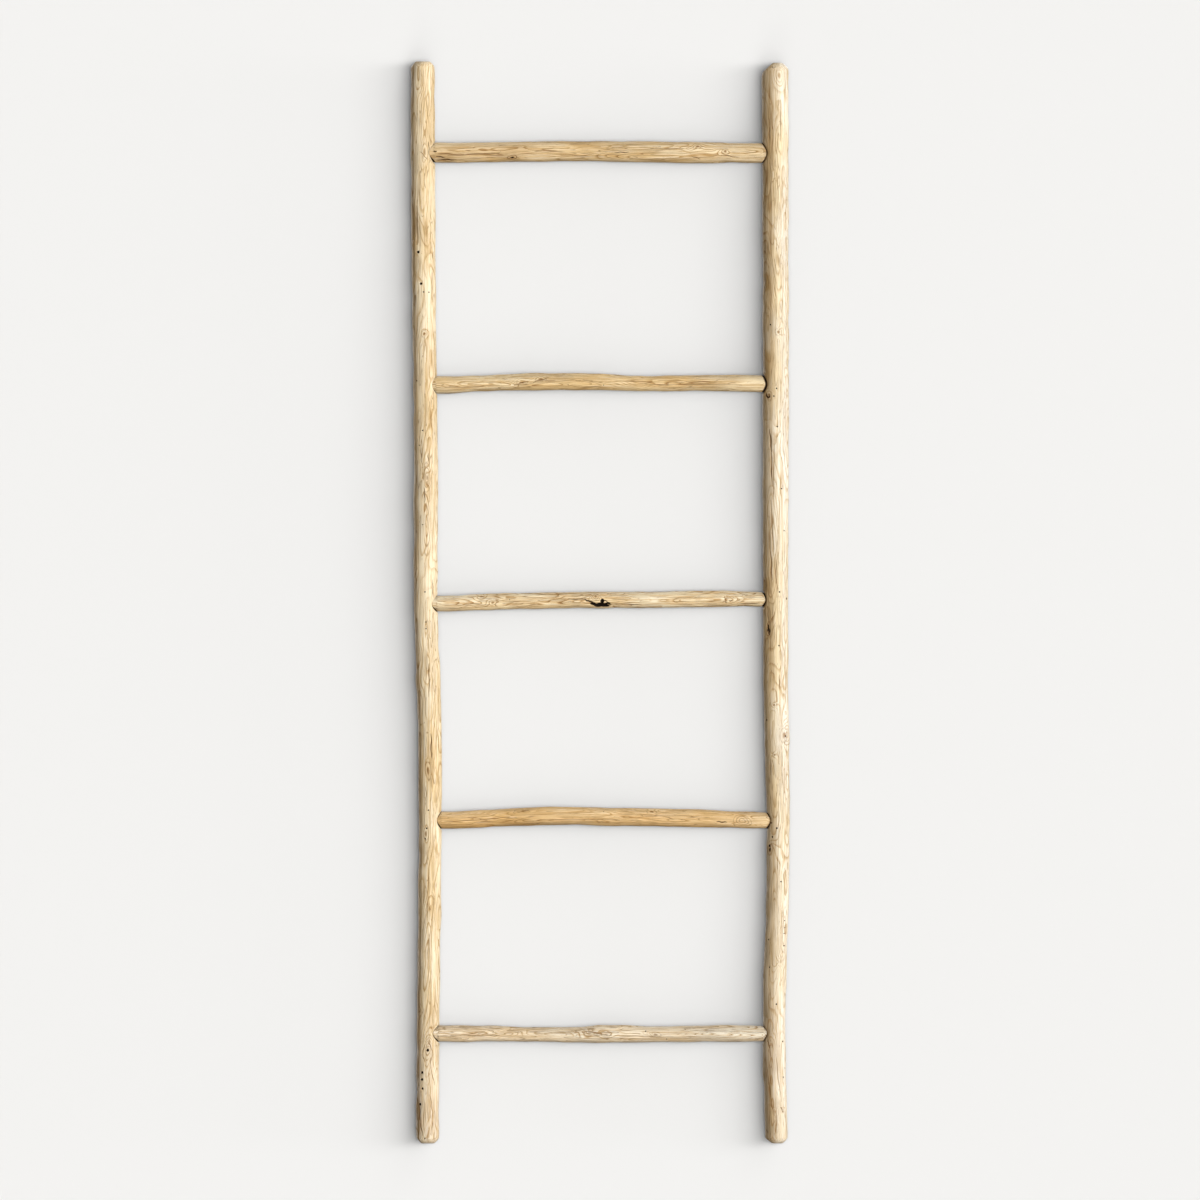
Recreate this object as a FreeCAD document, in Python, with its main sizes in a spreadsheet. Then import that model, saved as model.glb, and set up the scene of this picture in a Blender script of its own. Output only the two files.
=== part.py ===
import FreeCAD, Part
import math
import os
import Sketcher

# A leaning ladder of peeled branch wood: two poles, five rungs whose round tenons
# sit in blind sockets, and one nail through each pole into each tenon.
# It stands upright: X to the right, Y towards the wall, Z up, the floor at zero.

# Driving sizes in millimetres
SIZES = {
    "left_rail_length": 1750,
    "right_rail_length": 1748,
    "rail_spread": 566,
    "left_rail_thickness": 39,
    "right_rail_thickness": 42,
    "rail_sway": 8,
    "rail_bow": 6,
    "left_top_round": 8,
    "right_top_round": 13,
    "foot_round": 6,
    "rail_collar": 34,
    "rung_1_left_height": 1602,
    "rung_1_right_height": 1603,
    "rung_1_thickness": 33,
    "rung_2_left_height": 1225,
    "rung_2_right_height": 1230,
    "rung_2_thickness": 27,
    "rung_3_left_height": 871,
    "rung_3_right_height": 881,
    "rung_3_thickness": 27,
    "rung_4_left_height": 522,
    "rung_4_right_height": 524,
    "rung_4_thickness": 30,
    "rung_5_left_height": 177,
    "rung_5_right_height": 180,
    "rung_5_thickness": 26.5,
    "rung_arch": 8,
    "rung_bow": 4,
    "rung_collar": 10,
    "socket_depth": 26,
    "tenon_shave": 0.8,
    "tenon_clearance": 0.2,
    "tenon_end_gap": 0.5,
    "shoulder_gap": 0.8,
    "tenon_chamfer": 1.5,
    "hollow_length": 24,
    "hollow_width": 10,
    "hollow_depth": 6,
    "nail_length": 40,
    "nail_thickness": 2.65,
    "nail_head_width": 3.8,
    "nail_head_height": 2.2,
    "nail_point_length": 4,
    "nail_sink": 1.5,
    "nail_clearance": 0.05,
    "pilot_extra": 2,
    "cut_overrun": 10,
}

# The nails are driven square to the ladder from each pole's outer side, but one leans
# to the front, by this many degrees
LEANING_NAIL = "right_nail_3"
LEANING_ANGLE = 26

# The rotten hollow of one rung: at which of the span shares in that rung's table it
# lies, and how far down from the front it faces, in degrees
HOLLOW_SPAN_SHARES = {3: 0.50}
HOLLOW_ANGLE = 45

# How each pole wanders from the foot up, with a row at the foot, at every rung,
# midway between rungs and at the top: shares of its sway, bow and thickness
RAIL_SHARES = {
    "left": (
        (0.55, 0.00, 0.95),
        (0.45, 0.35, 0.94),
        (0.81, 0.60, 0.94),
        (1.00, 0.50, 0.955),
        (0.87, 0.10, 0.99),
        (0.15, -0.30, 0.985),
        (0.16, -0.50, 1.01),
        (0.00, -0.30, 0.975),
        (-0.30, 0.20, 0.995),
        (-0.44, 0.40, 1.01),
        (-0.50, 0.10, 0.99),
    ),
    "right": (
        (0.50, 0.00, 0.87),
        (-0.16, -0.30, 0.88),
        (0.30, -0.20, 0.87),
        (0.59, 0.20, 0.89),
        (0.20, 0.60, 0.96),
        (0.10, 0.50, 0.97),
        (0.10, 0.10, 1.00),
        (0.16, -0.30, 1.01),
        (0.10, -0.50, 1.00),
        (0.06, -0.10, 1.02),
        (0.00, 0.30, 1.03),
    ),
}

# How each rung wanders from its left shoulder to its right one: the share of the
# free span passed, then shares of the arch, the bow and the rung's own thickness
RUNG_SHARES = {
    1: (
        (0.00, 0.00, 0.0, 0.97),
        (0.18, 0.08, 0.4, 0.98),
        (0.39, 0.25, 0.7, 0.97),
        (0.58, 0.20, 0.5, 1.01),
        (0.78, 0.05, 0.1, 1.04),
        (1.00, 0.00, 0.0, 0.97),
    ),
    2: (
        (0.00, 0.00, 0.0, 1.02),
        (0.15, 0.38, -0.3, 0.96),
        (0.35, 0.70, -0.6, 1.03),
        (0.50, 0.55, -0.4, 0.98),
        (0.64, 0.16, 0.1, 0.92),
        (0.82, 0.15, 0.4, 0.96),
        (1.00, 0.00, 0.0, 1.00),
    ),
    3: (
        (0.00, 0.00, 0.0, 0.97),
        (0.15, 0.20, 0.4, 1.03),
        (0.35, 0.45, 0.8, 1.00),
        (0.50, 0.55, 0.5, 0.97),
        (0.68, 0.20, -0.1, 0.99),
        (0.84, 0.15, -0.4, 1.05),
        (1.00, 0.00, 0.0, 0.92),
    ),
    4: (
        (0.00, 0.00, 0.0, 0.96),
        (0.20, 0.60, -0.3, 0.99),
        (0.40, 0.92, -0.6, 1.02),
        (0.60, 0.62, -0.4, 1.02),
        (0.80, 0.30, 0.2, 1.01),
        (1.00, 0.00, 0.0, 0.94),
    ),
    5: (
        (0.00, 0.00, 0.0, 1.03),
        (0.14, 0.05, 0.5, 0.98),
        (0.28, -0.10, 0.8, 0.87),
        (0.40, -0.20, 0.5, 0.93),
        (0.52, -0.08, 0.1, 1.08),
        (0.66, -0.05, -0.3, 0.99),
        (0.84, 0.10, -0.5, 1.03),
        (1.00, 0.00, 0.0, 0.97),
    ),
}

SIDES = ("left", "right")
RUNGS = tuple(RUNG_SHARES)

ORIGIN = FreeCAD.Vector(0, 0, 0)
UPRIGHT = FreeCAD.Vector(0, 0, 1)


def add_sheet(doc):
    """Write every driving size into a sheet, each cell under its own alias."""
    sheet = doc.addObject("Spreadsheet::Sheet", "Sizes")
    rows = dict(SIZES)
    rows["leaning_angle"] = LEANING_ANGLE
    rows["hollow_angle"] = HOLLOW_ANGLE
    for row, (alias, value) in enumerate(rows.items(), start=1):
        sheet.set(f"A{row}", alias)
        sheet.set(f"B{row}", str(value))
        sheet.setAlias(f"B{row}", alias)


def size(alias):
    """The expression that reads one driving size."""
    return f"Sizes.{alias}"


def inward(side):
    """The way from one pole to the other along X."""
    return 1 if side == "left" else -1


def station(rung):
    """The row of a pole's table that is level with a rung."""
    return 2 * (len(RUNGS) - RUNGS.index(rung)) - 1


def rail_levels(side):
    """Height of each row of a pole's table, between its rounded ends, as expressions."""
    levels = [size("foot_round")]
    for rung in reversed(RUNGS):
        height = size(f"rung_{rung}_{side}_height")
        if rung != RUNGS[-1]:
            levels.append(f"({levels[-1]} + {height}) / 2")
        levels.append(height)
    levels.append(f"{size(side + '_rail_length')} - {size(side + '_top_round')}")
    return levels


def rail_section(side, row):
    """Sway, bow and radius of a pole at one row of its table, as expressions."""
    sway_share, bow_share, girth_share = RAIL_SHARES[side][row]
    sway = f"{size('rail_sway')} * {sway_share}"
    bow = f"{size('rail_bow')} * {bow_share}"
    radius = f"{size(side + '_rail_thickness')} * {girth_share} / 2"
    return sway, bow, radius


def tenon_radius(rung, end):
    """Radius of a rung's tenon at its left end, 0, or its right end, -1."""
    girth_share = RUNG_SHARES[rung][end][-1]
    return f"({size(f'rung_{rung}_thickness')} * {girth_share} / 2 - {size('tenon_shave')})"


def bind(item, expressions):
    """Tie each named property of an object to its expression."""
    for path, expression in expressions.items():
        item.setExpression(path, expression)


def attach(item, body, plane, place, turn="0"):
    """Put a sketch or a primitive on one of the body's own planes, moved and turned."""
    base = next(datum for datum in body.Origin.OriginFeatures if datum.Role == plane)
    item.AttachmentSupport = [(base, "")]
    item.MapMode = "FlatFace"
    item.AttachmentOffset = FreeCAD.Placement(ORIGIN, FreeCAD.Rotation(UPRIGHT, 0))
    along, up, out = place
    bind(item, {
        "AttachmentOffset.Base.x": along,
        "AttachmentOffset.Base.y": up,
        "AttachmentOffset.Base.z": out,
        "AttachmentOffset.Rotation.Angle": turn,
    })


def add_circle(body, name, plane, place, radius):
    """A sketch with one circle at its own centre."""
    sketch = body.newObject("Sketcher::SketchObject", name)
    attach(sketch, body, plane, place)
    sketch.addGeometry(Part.Circle(ORIGIN, UPRIGHT, 1), False)
    sketch.addConstraint(Sketcher.Constraint("Coincident", 0, 3, -1, 1))
    sketch.addConstraint(Sketcher.Constraint("Radius", 0, 1))
    sketch.renameConstraint(1, "radius")
    sketch.setExpression("Constraints.radius", radius)
    return sketch


def add_half_profile(body, name, place, turn, corners):
    """A closed outline from (distance, radius) expressions, to be spun about its axis."""
    sketch = body.newObject("Sketcher::SketchObject", name)
    attach(sketch, body, "XY_Plane", place, turn)
    count = len(corners)
    spots = [FreeCAD.Vector(index, index * index, 0) for index in range(count)]
    for index in range(count):
        following = spots[(index + 1) % count]
        sketch.addGeometry(Part.LineSegment(spots[index], following), False)
    for index in range(count):
        sketch.addConstraint(
            Sketcher.Constraint("Coincident", index, 2, (index + 1) % count, 1)
        )
    for index, (distance, radius) in enumerate(corners):
        for kind, word, expression in (
            ("DistanceX", "distance", distance),
            ("DistanceY", "radius", radius),
        ):
            start = spots[index].x if kind == "DistanceX" else spots[index].y
            row = sketch.addConstraint(Sketcher.Constraint(kind, -1, 1, index, 1, start))
            sketch.renameConstraint(row, f"{word}_{index}")
            sketch.setExpression(f"Constraints.{word}_{index}", expression)
    return sketch


def add_loft(body, sections):
    """A smooth solid through circles, the first one its base."""
    loft = body.newObject("PartDesign::AdditiveLoft", "Branch")
    loft.Profile = sections[0]
    loft.Sections = sections[1:]
    loft.Ruled = False
    return loft


def add_spin(body, kind, name, sketch, axis="H_Axis"):
    """Spin a half profile about one of its sketch's own axes, to add or to cut."""
    spin = body.newObject(kind, name)
    spin.Profile = sketch
    spin.ReferenceAxis = (sketch, [axis])
    spin.Angle = 360
    sketch.Visibility = False
    return spin


def add_cap(body, name, place, radius, rounding, up):
    """A turned end for a pole: a flat middle and a rounded rim; up is -1 at the top."""
    sway, bow, level = place
    sketch = body.newObject("Sketcher::SketchObject", f"{name}Profile")
    attach(sketch, body, "XZ_Plane", (sway, level, f"-({bow})"))
    across = FreeCAD.Vector(1, 0, 0)
    inner = FreeCAD.Vector(0, up, 0)
    centre = inner + across
    circle = Part.Circle(centre, UPRIGHT, 1)
    quarter = math.pi / 2
    first, last = (-quarter, 0) if up > 0 else (0, quarter)
    rim_end, flank_end = (1, 2) if up > 0 else (2, 1)
    sketch.addGeometry(Part.LineSegment(ORIGIN, across), False)
    sketch.addGeometry(Part.ArcOfCircle(circle, first, last), False)
    sketch.addGeometry(Part.LineSegment(centre + across, inner), False)
    sketch.addGeometry(Part.LineSegment(inner, ORIGIN), False)
    for constraint in (
        ("Coincident", 0, 1, -1, 1),
        ("Tangent", 0, 2, 1, rim_end),
        ("Coincident", 1, flank_end, 2, 1),
        ("Coincident", 2, 2, 3, 1),
        ("Coincident", 3, 2, 0, 1),
        ("Horizontal", 0),
        ("Horizontal", 2),
        ("Horizontal", 1, 3, 1, flank_end),
        ("Vertical", 3),
    ):
        sketch.addConstraint(Sketcher.Constraint(*constraint))
    for word, constraint, expression in (
        ("centre", ("DistanceX", -1, 1, 1, 3, 2), f"{radius} - {rounding}"),
        ("rounding", ("Radius", 1, 1), rounding),
    ):
        row = sketch.addConstraint(Sketcher.Constraint(*constraint))
        sketch.renameConstraint(row, word)
        sketch.setExpression(f"Constraints.{word}", expression)
    body.Tip = add_spin(body, "PartDesign::Revolution", name, sketch, "V_Axis")


def nail_reach(side, row):
    """How far a nail's head and its tip lie from the pole's middle line, outwards."""
    radius = rail_section(side, row)[2]
    head = f"({radius} - {size('nail_sink')})"
    tip = f"({head} - {size('nail_length')})"
    return head, tip


def nail_turn(side, rung):
    """Which way a nail points, from its tip to its head, in degrees about Z."""
    lean = size("leaning_angle") if f"{side}_nail_{rung}" == LEANING_NAIL else "0"
    return f"180 + {lean}" if side == "left" else f"-{lean}"


def add_rail(doc, side):
    """One pole: a wandering branch with rounded ends, five sockets and five nail holes."""
    body = doc.addObject("PartDesign::Body", f"{side}_rail")
    body.Label = f"{side}_rail"
    body.setExpression("Placement.Base.x", f"{-inward(side)} * {size('rail_spread')} / 2")
    levels = rail_levels(side)
    stations = [(row, level) for row, level in enumerate(levels)]
    stations.insert(1, (0, f"{levels[0]} + {size('rail_collar')}"))
    stations.insert(-1, (len(levels) - 1, f"{levels[-1]} - {size('rail_collar')}"))
    sections = []
    for row, level in stations:
        place = (*rail_section(side, row)[:2], level)
        radius = rail_section(side, row)[2]
        sections.append(add_circle(body, f"Section{len(sections)}", "XY_Plane", place, radius))
    add_loft(body, sections)
    foot_sway, foot_bow, foot_radius = rail_section(side, 0)
    top_sway, top_bow, top_radius = rail_section(side, len(levels) - 1)
    top = size(f"{side}_rail_length")
    add_cap(body, "Foot", (foot_sway, foot_bow, "0"), foot_radius, size("foot_round"), 1)
    add_cap(body, "Top", (top_sway, top_bow, top), top_radius, size(f"{side}_top_round"), -1)
    for rung in RUNGS:
        cut_socket(doc, body, side, rung)
        cut_nail_hole(doc, body, side, rung)
    return body


def cut_socket(doc, body, side, rung):
    """Drill the blind round socket that a rung's tenon sits in."""
    row = station(rung)
    sway, bow, radius = rail_section(side, row)
    height = size(f"rung_{rung}_{side}_height")
    end = 0 if side == "left" else -1
    bottom = f"{sway} + {inward(side)} * ({radius} - {size('socket_depth')})"
    circle = add_circle(
        body,
        f"Socket{rung}Circle",
        "YZ_Plane",
        (bow, height, bottom),
        f"{tenon_radius(rung, end)} + {size('tenon_clearance')}",
    )
    socket = body.newObject("PartDesign::Pocket", f"Socket{rung}")
    socket.Profile = circle
    socket.setExpression("Length", f"{size('socket_depth')} + {size('cut_overrun')}")
    socket.Reversed = side == "left"
    check_cut(doc, body, socket)


def cut_nail_hole(doc, body, side, rung):
    """Drill a nail's hole from the pole's outer side into the socket, with room for its head."""
    row = station(rung)
    sway, bow, radius = rail_section(side, row)
    height = size(f"rung_{rung}_{side}_height")
    head, _ = nail_reach(side, row)
    neck = f"{head} - {size('nail_head_height')}"
    outside = f"{radius} + {size('cut_overrun')}"
    shank = f"{size('nail_thickness')} / 2 + {size('nail_clearance')}"
    head_room = f"{size('nail_head_width')} / 2 + {size('nail_clearance')}"
    corners = (
        ("0", "0"),
        ("0", shank),
        (neck, shank),
        (neck, head_room),
        (outside, head_room),
        (outside, "0"),
    )
    profile = add_half_profile(
        body, f"NailHole{rung}Profile", (sway, bow, height), nail_turn(side, rung), corners
    )
    hole = add_spin(body, "PartDesign::Groove", f"NailHole{rung}", profile)
    check_cut(doc, body, hole)


def check_cut(doc, body, cut):
    """Stop if a cut took nothing away."""
    doc.recompute()
    before = cut.BaseFeature.Shape.Volume
    if not cut.Shape.Volume < before:
        raise RuntimeError(f"{body.Label}: {cut.Name} cuts nothing")
    body.Tip = cut


def rung_ends(rung):
    """Where the poles' middle lines stand beside a rung, as expressions for each side."""
    row = station(rung)
    ends = {}
    for side in SIDES:
        sway, bow, radius = rail_section(side, row)
        across = f"({-inward(side)} * {size('rail_spread')} / 2 + {sway})"
        ends[side] = (across, f"({bow})", size(f"rung_{rung}_{side}_height"), f"({radius})")
    return ends


def add_rung(doc, rung):
    """One rung: a wandering branch between two shoulders, a tenon and pilot hole at each end."""
    ends = rung_ends(rung)
    left_x, left_y, left_z, left_radius = ends["left"]
    right_x, right_y, right_z, right_radius = ends["right"]
    across = f"({right_x} - {left_x})"
    back = f"({right_y} - {left_y})"
    rise = f"({right_z} - {left_z})"
    body = doc.addObject("PartDesign::Body", f"rung_{rung}")
    body.Label = f"rung_{rung}"
    bind(body, {
        "Placement.Base.x": left_x,
        "Placement.Base.y": left_y,
        "Placement.Base.z": left_z,
    })
    gap = size("shoulder_gap")
    start = f"({left_radius} + {gap})"
    span = f"({across} - {start} - {right_radius} - {gap})"
    thickness = size(f"rung_{rung}_thickness")
    stations = []
    for share, arch_share, bow_share, girth_share in RUNG_SHARES[rung]:
        place = (
            f"{back} * {share} + {size('rung_bow')} * {bow_share}",
            f"{rise} * {share} + {size('rung_arch')} * {arch_share}",
            f"{start} + {span} * {share}",
        )
        stations.append((place, f"{thickness} * {girth_share} / 2"))
    if rung in HOLLOW_SPAN_SHARES:
        spans = [row[0] for row in RUNG_SHARES[rung]]
        hollow_place, hollow_radius = stations[spans.index(HOLLOW_SPAN_SHARES[rung])]
    for row, step in ((0, "+"), (-1, "-")):
        (bow, arch, along), radius = stations[row]
        collar = (bow, arch, f"{along} {step} {size('rung_collar')}")
        stations.insert(1 if row == 0 else -1, (collar, radius))
    sections = [
        add_circle(body, f"Section{index}", "YZ_Plane", place, radius)
        for index, (place, radius) in enumerate(stations)
    ]
    add_loft(body, sections)
    reach = f"({size('socket_depth')} - {size('tenon_end_gap')} + {gap})"
    tenons = {
        "left": (("0", "0", f"{start} - {reach}"), 0),
        "right": ((back, rise, f"{start} + {span}"), -1),
    }
    for side, (place, end) in tenons.items():
        circle = add_circle(
            body, f"{side.title()}TenonCircle", "YZ_Plane", place, tenon_radius(rung, end)
        )
        tenon = body.newObject("PartDesign::Pad", f"{side.title()}Tenon")
        tenon.Profile = circle
        tenon.setExpression("Length", reach)
        body.Tip = tenon
    chamfer_tenons(doc, body)
    middles = {"left": ("0", "0", "0"), "right": (across, back, rise)}
    for side, place in middles.items():
        drill_pilot(doc, body, side, rung, place)
    if rung in HOLLOW_SPAN_SHARES:
        hollow_rung(doc, body, hollow_place, hollow_radius)
    return body


def hollow_rung(doc, body, middle, radius):
    """Scoop the rotten hollow out of a rung's lower front."""
    back, rise, along = middle
    angle = size("hollow_angle")
    hollow = body.newObject("PartDesign::SubtractiveEllipsoid", "Hollow")
    front = f"{back} - {radius} * cos({angle} * 1 deg)"
    under = f"{rise} - {radius} * sin({angle} * 1 deg)"
    attach(hollow, body, "YZ_Plane", (front, under, along), angle)
    bind(hollow, {
        "Radius1": f"{size('hollow_length')} / 2",
        "Radius2": size("hollow_depth"),
        "Radius3": f"{size('hollow_width')} / 2",
    })
    check_cut(doc, body, hollow)


def chamfer_tenons(doc, body):
    """Ease the edge at the far end of both tenons."""
    doc.recompute()
    solid = body.Shape
    box = solid.BoundBox
    names = []
    for index, edge in enumerate(solid.Edges, start=1):
        edge_box = edge.BoundBox
        flat = edge_box.XLength < Part.Precision.confusion()
        reach = min(abs(edge_box.XMin - box.XMin), abs(edge_box.XMax - box.XMax))
        if flat and reach < Part.Precision.confusion():
            names.append(f"Edge{index}")
    eased = body.newObject("PartDesign::Chamfer", "TenonChamfer")
    eased.Base = (eased.BaseFeature, names)
    eased.setExpression("Size", size("tenon_chamfer"))
    body.Tip = eased


def drill_pilot(doc, body, side, rung, place):
    """Drill the pilot hole that a nail runs in, from the tenon's end inwards."""
    row = station(rung)
    radius = rail_section(side, row)[2]
    _, tip = nail_reach(side, row)
    far = f"{tip} - {size('pilot_extra')}"
    bore = f"{size('nail_thickness')} / 2 + {size('nail_clearance')}"
    corners = ((far, "0"), (far, bore), (radius, bore), (radius, "0"))
    profile = add_half_profile(
        body, f"{side.title()}PilotProfile", place, nail_turn(side, rung), corners
    )
    pilot = add_spin(body, "PartDesign::Groove", f"{side.title()}Pilot", profile)
    check_cut(doc, body, pilot)


def add_nail(doc, side, rung):
    """One lost-head nail, driven from the pole's outer side along the rung."""
    body = doc.addObject("PartDesign::Body", f"{side}_nail_{rung}")
    body.Label = f"{side}_nail_{rung}"
    across, back, height, _ = rung_ends(rung)[side]
    body.Placement.Rotation = FreeCAD.Rotation(UPRIGHT, 0)
    bind(body, {
        "Placement.Base.x": across,
        "Placement.Base.y": back,
        "Placement.Base.z": height,
        "Placement.Rotation.Angle": nail_turn(side, rung),
    })
    head, tip = nail_reach(side, station(rung))
    shank = f"{size('nail_thickness')} / 2"
    head_radius = f"{size('nail_head_width')} / 2"
    corners = (
        (tip, "0"),
        (f"{tip} + {size('nail_point_length')}", shank),
        (f"{head} - {size('nail_head_height')}", shank),
        (f"{head} - {size('nail_head_height')} / 2", head_radius),
        (head, head_radius),
        (head, "0"),
    )
    profile = add_half_profile(body, "Profile", ("0", "0", "0"), "0", corners)
    body.Tip = add_spin(body, "PartDesign::Revolution", "Nail", profile)
    return body


def check_document(doc, bodies):
    """Stop if any object failed, or any piece isn't one valid solid."""
    for item in doc.Objects:
        if "Invalid" in item.State or "Error" in item.State:
            raise RuntimeError(f"{item.Label} failed: {item.State}")
    for body in bodies:
        solid = body.Shape
        if solid.isNull() or not solid.isValid() or len(solid.Solids) != 1:
            raise RuntimeError(f"{body.Label} is not one valid solid")


doc = FreeCAD.newDocument("Ladder")
add_sheet(doc)
doc.recompute()
bodies = [add_rail(doc, side) for side in SIDES]
bodies += [add_rung(doc, rung) for rung in RUNGS]
for side in SIDES:
    bodies += [add_nail(doc, side, rung) for rung in RUNGS]
doc.recompute()
check_document(doc, bodies)

os.makedirs("parts", exist_ok=True)
for body in bodies:
    body.Shape.exportStep(f"parts/{body.Label}.step")
    box = body.Shape.BoundBox
    print(f"{body.Label}: {body.Shape.Volume:.0f} mm3, from {box.ZMin:.0f} to {box.ZMax:.0f}")
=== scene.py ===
import math

import bmesh
import bpy
import numpy as np
from mathutils import Matrix, Vector
from mathutils.bvhtree import BVHTree


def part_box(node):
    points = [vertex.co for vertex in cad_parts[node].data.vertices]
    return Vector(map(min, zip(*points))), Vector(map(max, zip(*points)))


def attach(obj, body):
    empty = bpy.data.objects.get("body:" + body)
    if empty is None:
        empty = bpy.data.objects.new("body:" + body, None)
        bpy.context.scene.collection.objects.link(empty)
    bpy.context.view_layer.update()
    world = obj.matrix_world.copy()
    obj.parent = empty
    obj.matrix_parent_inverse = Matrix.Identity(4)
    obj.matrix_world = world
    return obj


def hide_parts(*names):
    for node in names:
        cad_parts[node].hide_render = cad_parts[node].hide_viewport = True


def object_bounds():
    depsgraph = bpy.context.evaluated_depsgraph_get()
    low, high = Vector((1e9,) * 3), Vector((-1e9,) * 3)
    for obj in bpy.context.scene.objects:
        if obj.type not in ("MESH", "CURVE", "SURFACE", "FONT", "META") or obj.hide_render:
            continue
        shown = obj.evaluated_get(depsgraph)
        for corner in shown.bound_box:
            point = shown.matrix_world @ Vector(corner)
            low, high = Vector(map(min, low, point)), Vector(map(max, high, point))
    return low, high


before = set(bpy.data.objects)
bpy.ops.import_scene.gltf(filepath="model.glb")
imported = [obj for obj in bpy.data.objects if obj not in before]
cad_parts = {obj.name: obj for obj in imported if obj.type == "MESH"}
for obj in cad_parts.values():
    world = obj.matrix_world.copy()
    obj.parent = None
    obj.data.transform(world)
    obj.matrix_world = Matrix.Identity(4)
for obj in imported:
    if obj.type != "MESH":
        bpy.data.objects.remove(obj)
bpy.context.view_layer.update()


# The two poles. Each is one whole branch, peeled of its bark and weathered pale, sawn off at
# both ends and rasped round there. Five blind sockets are bored into its inner side, and a
# nail hole runs from its outer side into each.

MM = 0.001

# A pixel of the photograph, and the one on the floor midway between the feet
PIXEL = 1.6174 * MM
FOOT_PIXEL = (600.5, 1143.75)

# How finely the skin is divided, and how many levels and rays measure a packed branch
POLE_AROUND = 88
SPARSE_STEP = 3.2 * MM
CLOSE_STEP = 1.2 * MM
CLOSE_REACH = 20 * MM
MARK_MARGINS = (1.5, 1.15)
POLE_LEVELS = 60
POLE_MARGIN = 20 * MM
RUNG_LEVELS = 24
RAYS = 9

# The rounded rims of the ends, and how finely the flat ends and the rims are divided
FOOT_ROUND = 10 * MM
TOP_ROUND = {"left": 9 * MM, "right": 13 * MM}
FLAT_STEPS = 7
ROUND_STEPS = 9

# What grew in the wood or was cut into it
GROWTH_RING = 1.15 * MM
LUMP_HEIGHT = 0.38 * MM
FACET_HEIGHT = 0.22 * MM
KNOT_GROOVE = 0.25 * MM
SWIRL_RINGS = 3
CRACK_BEND = 0.5 * MM
HOLE_DEPTH = 5 * MM
HOLE_RUNOUT = 4 * MM

# The sockets: their play round the tenons, their flared and eased mouths, how deep inside
# them the wood stays free of painted shade and dirt, the width of grime and painted shade
# at their mouths, and a painted highlight round the left pole's rims and painted shade
# round the right pole's
SOCKET_PLAY = 0.3 * MM
SOCKET_DROP = {"left": 0.5 * MM, "right": 0.2 * MM}
FLARE_DEPTH = 8 * MM
FLARES = {
    "left": (0.9 * MM, 0.8 * MM, 1.0 * MM, 0.8 * MM, 0.9 * MM),
    "right": (1.1 * MM, 1.8 * MM, 1.4 * MM, 1.1 * MM, 1.2 * MM),
}
MOUTH_WIDTH = 2.6 * MM
MOUTH_DEPTH = 0.9 * MM
MOUTH_LIP = 0.30 * MM
MOUTH_REACH = 12 * MM
UNSHADED_SKIN = 0.2 * MM
RECESS_SHADE_FADE = 0.6 * MM
UNSHADED_DEPTH = {"left": 3.0 * MM, "right": 0.3 * MM}
GRIME_AND_SHADE = {
    "left": (0.4 * MM, 0.3 * MM, 0.5 * MM, 0.4 * MM, 0.4 * MM),
    "right": (0.5 * MM, 1.3 * MM, 0.8 * MM, 0.5 * MM, 0.3 * MM),
}
RIM_HIGHLIGHT_AND_SHADE = {1: 0.9, -1: -0.3}

# The bits that cut holes: rings along them, and sides of wide and of fine ones
BIT_STEP = 1.6 * MM
WIDE_BIT = 5 * MM
WIDE_SIDES = 48
FINE_SIDES = 18

# How the rungs' tenons lie in the sockets, the forward lean of two rungs' left ends, and
# the nails' holes
END_GAP = 0.5 * MM
TENON_LENGTH = 26.3 * MM
TENON_SHAVE = 0.8 * MM
LEAN_REACH = 60 * MM
RUNG_LEANS = {3: 2.8 * MM, 5: 2.4 * MM}
NAIL_PLAY = 0.15 * MM
NAIL_HEAD_HEIGHT = 2.2 * MM
NAIL_SHANK = 0.7


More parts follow.
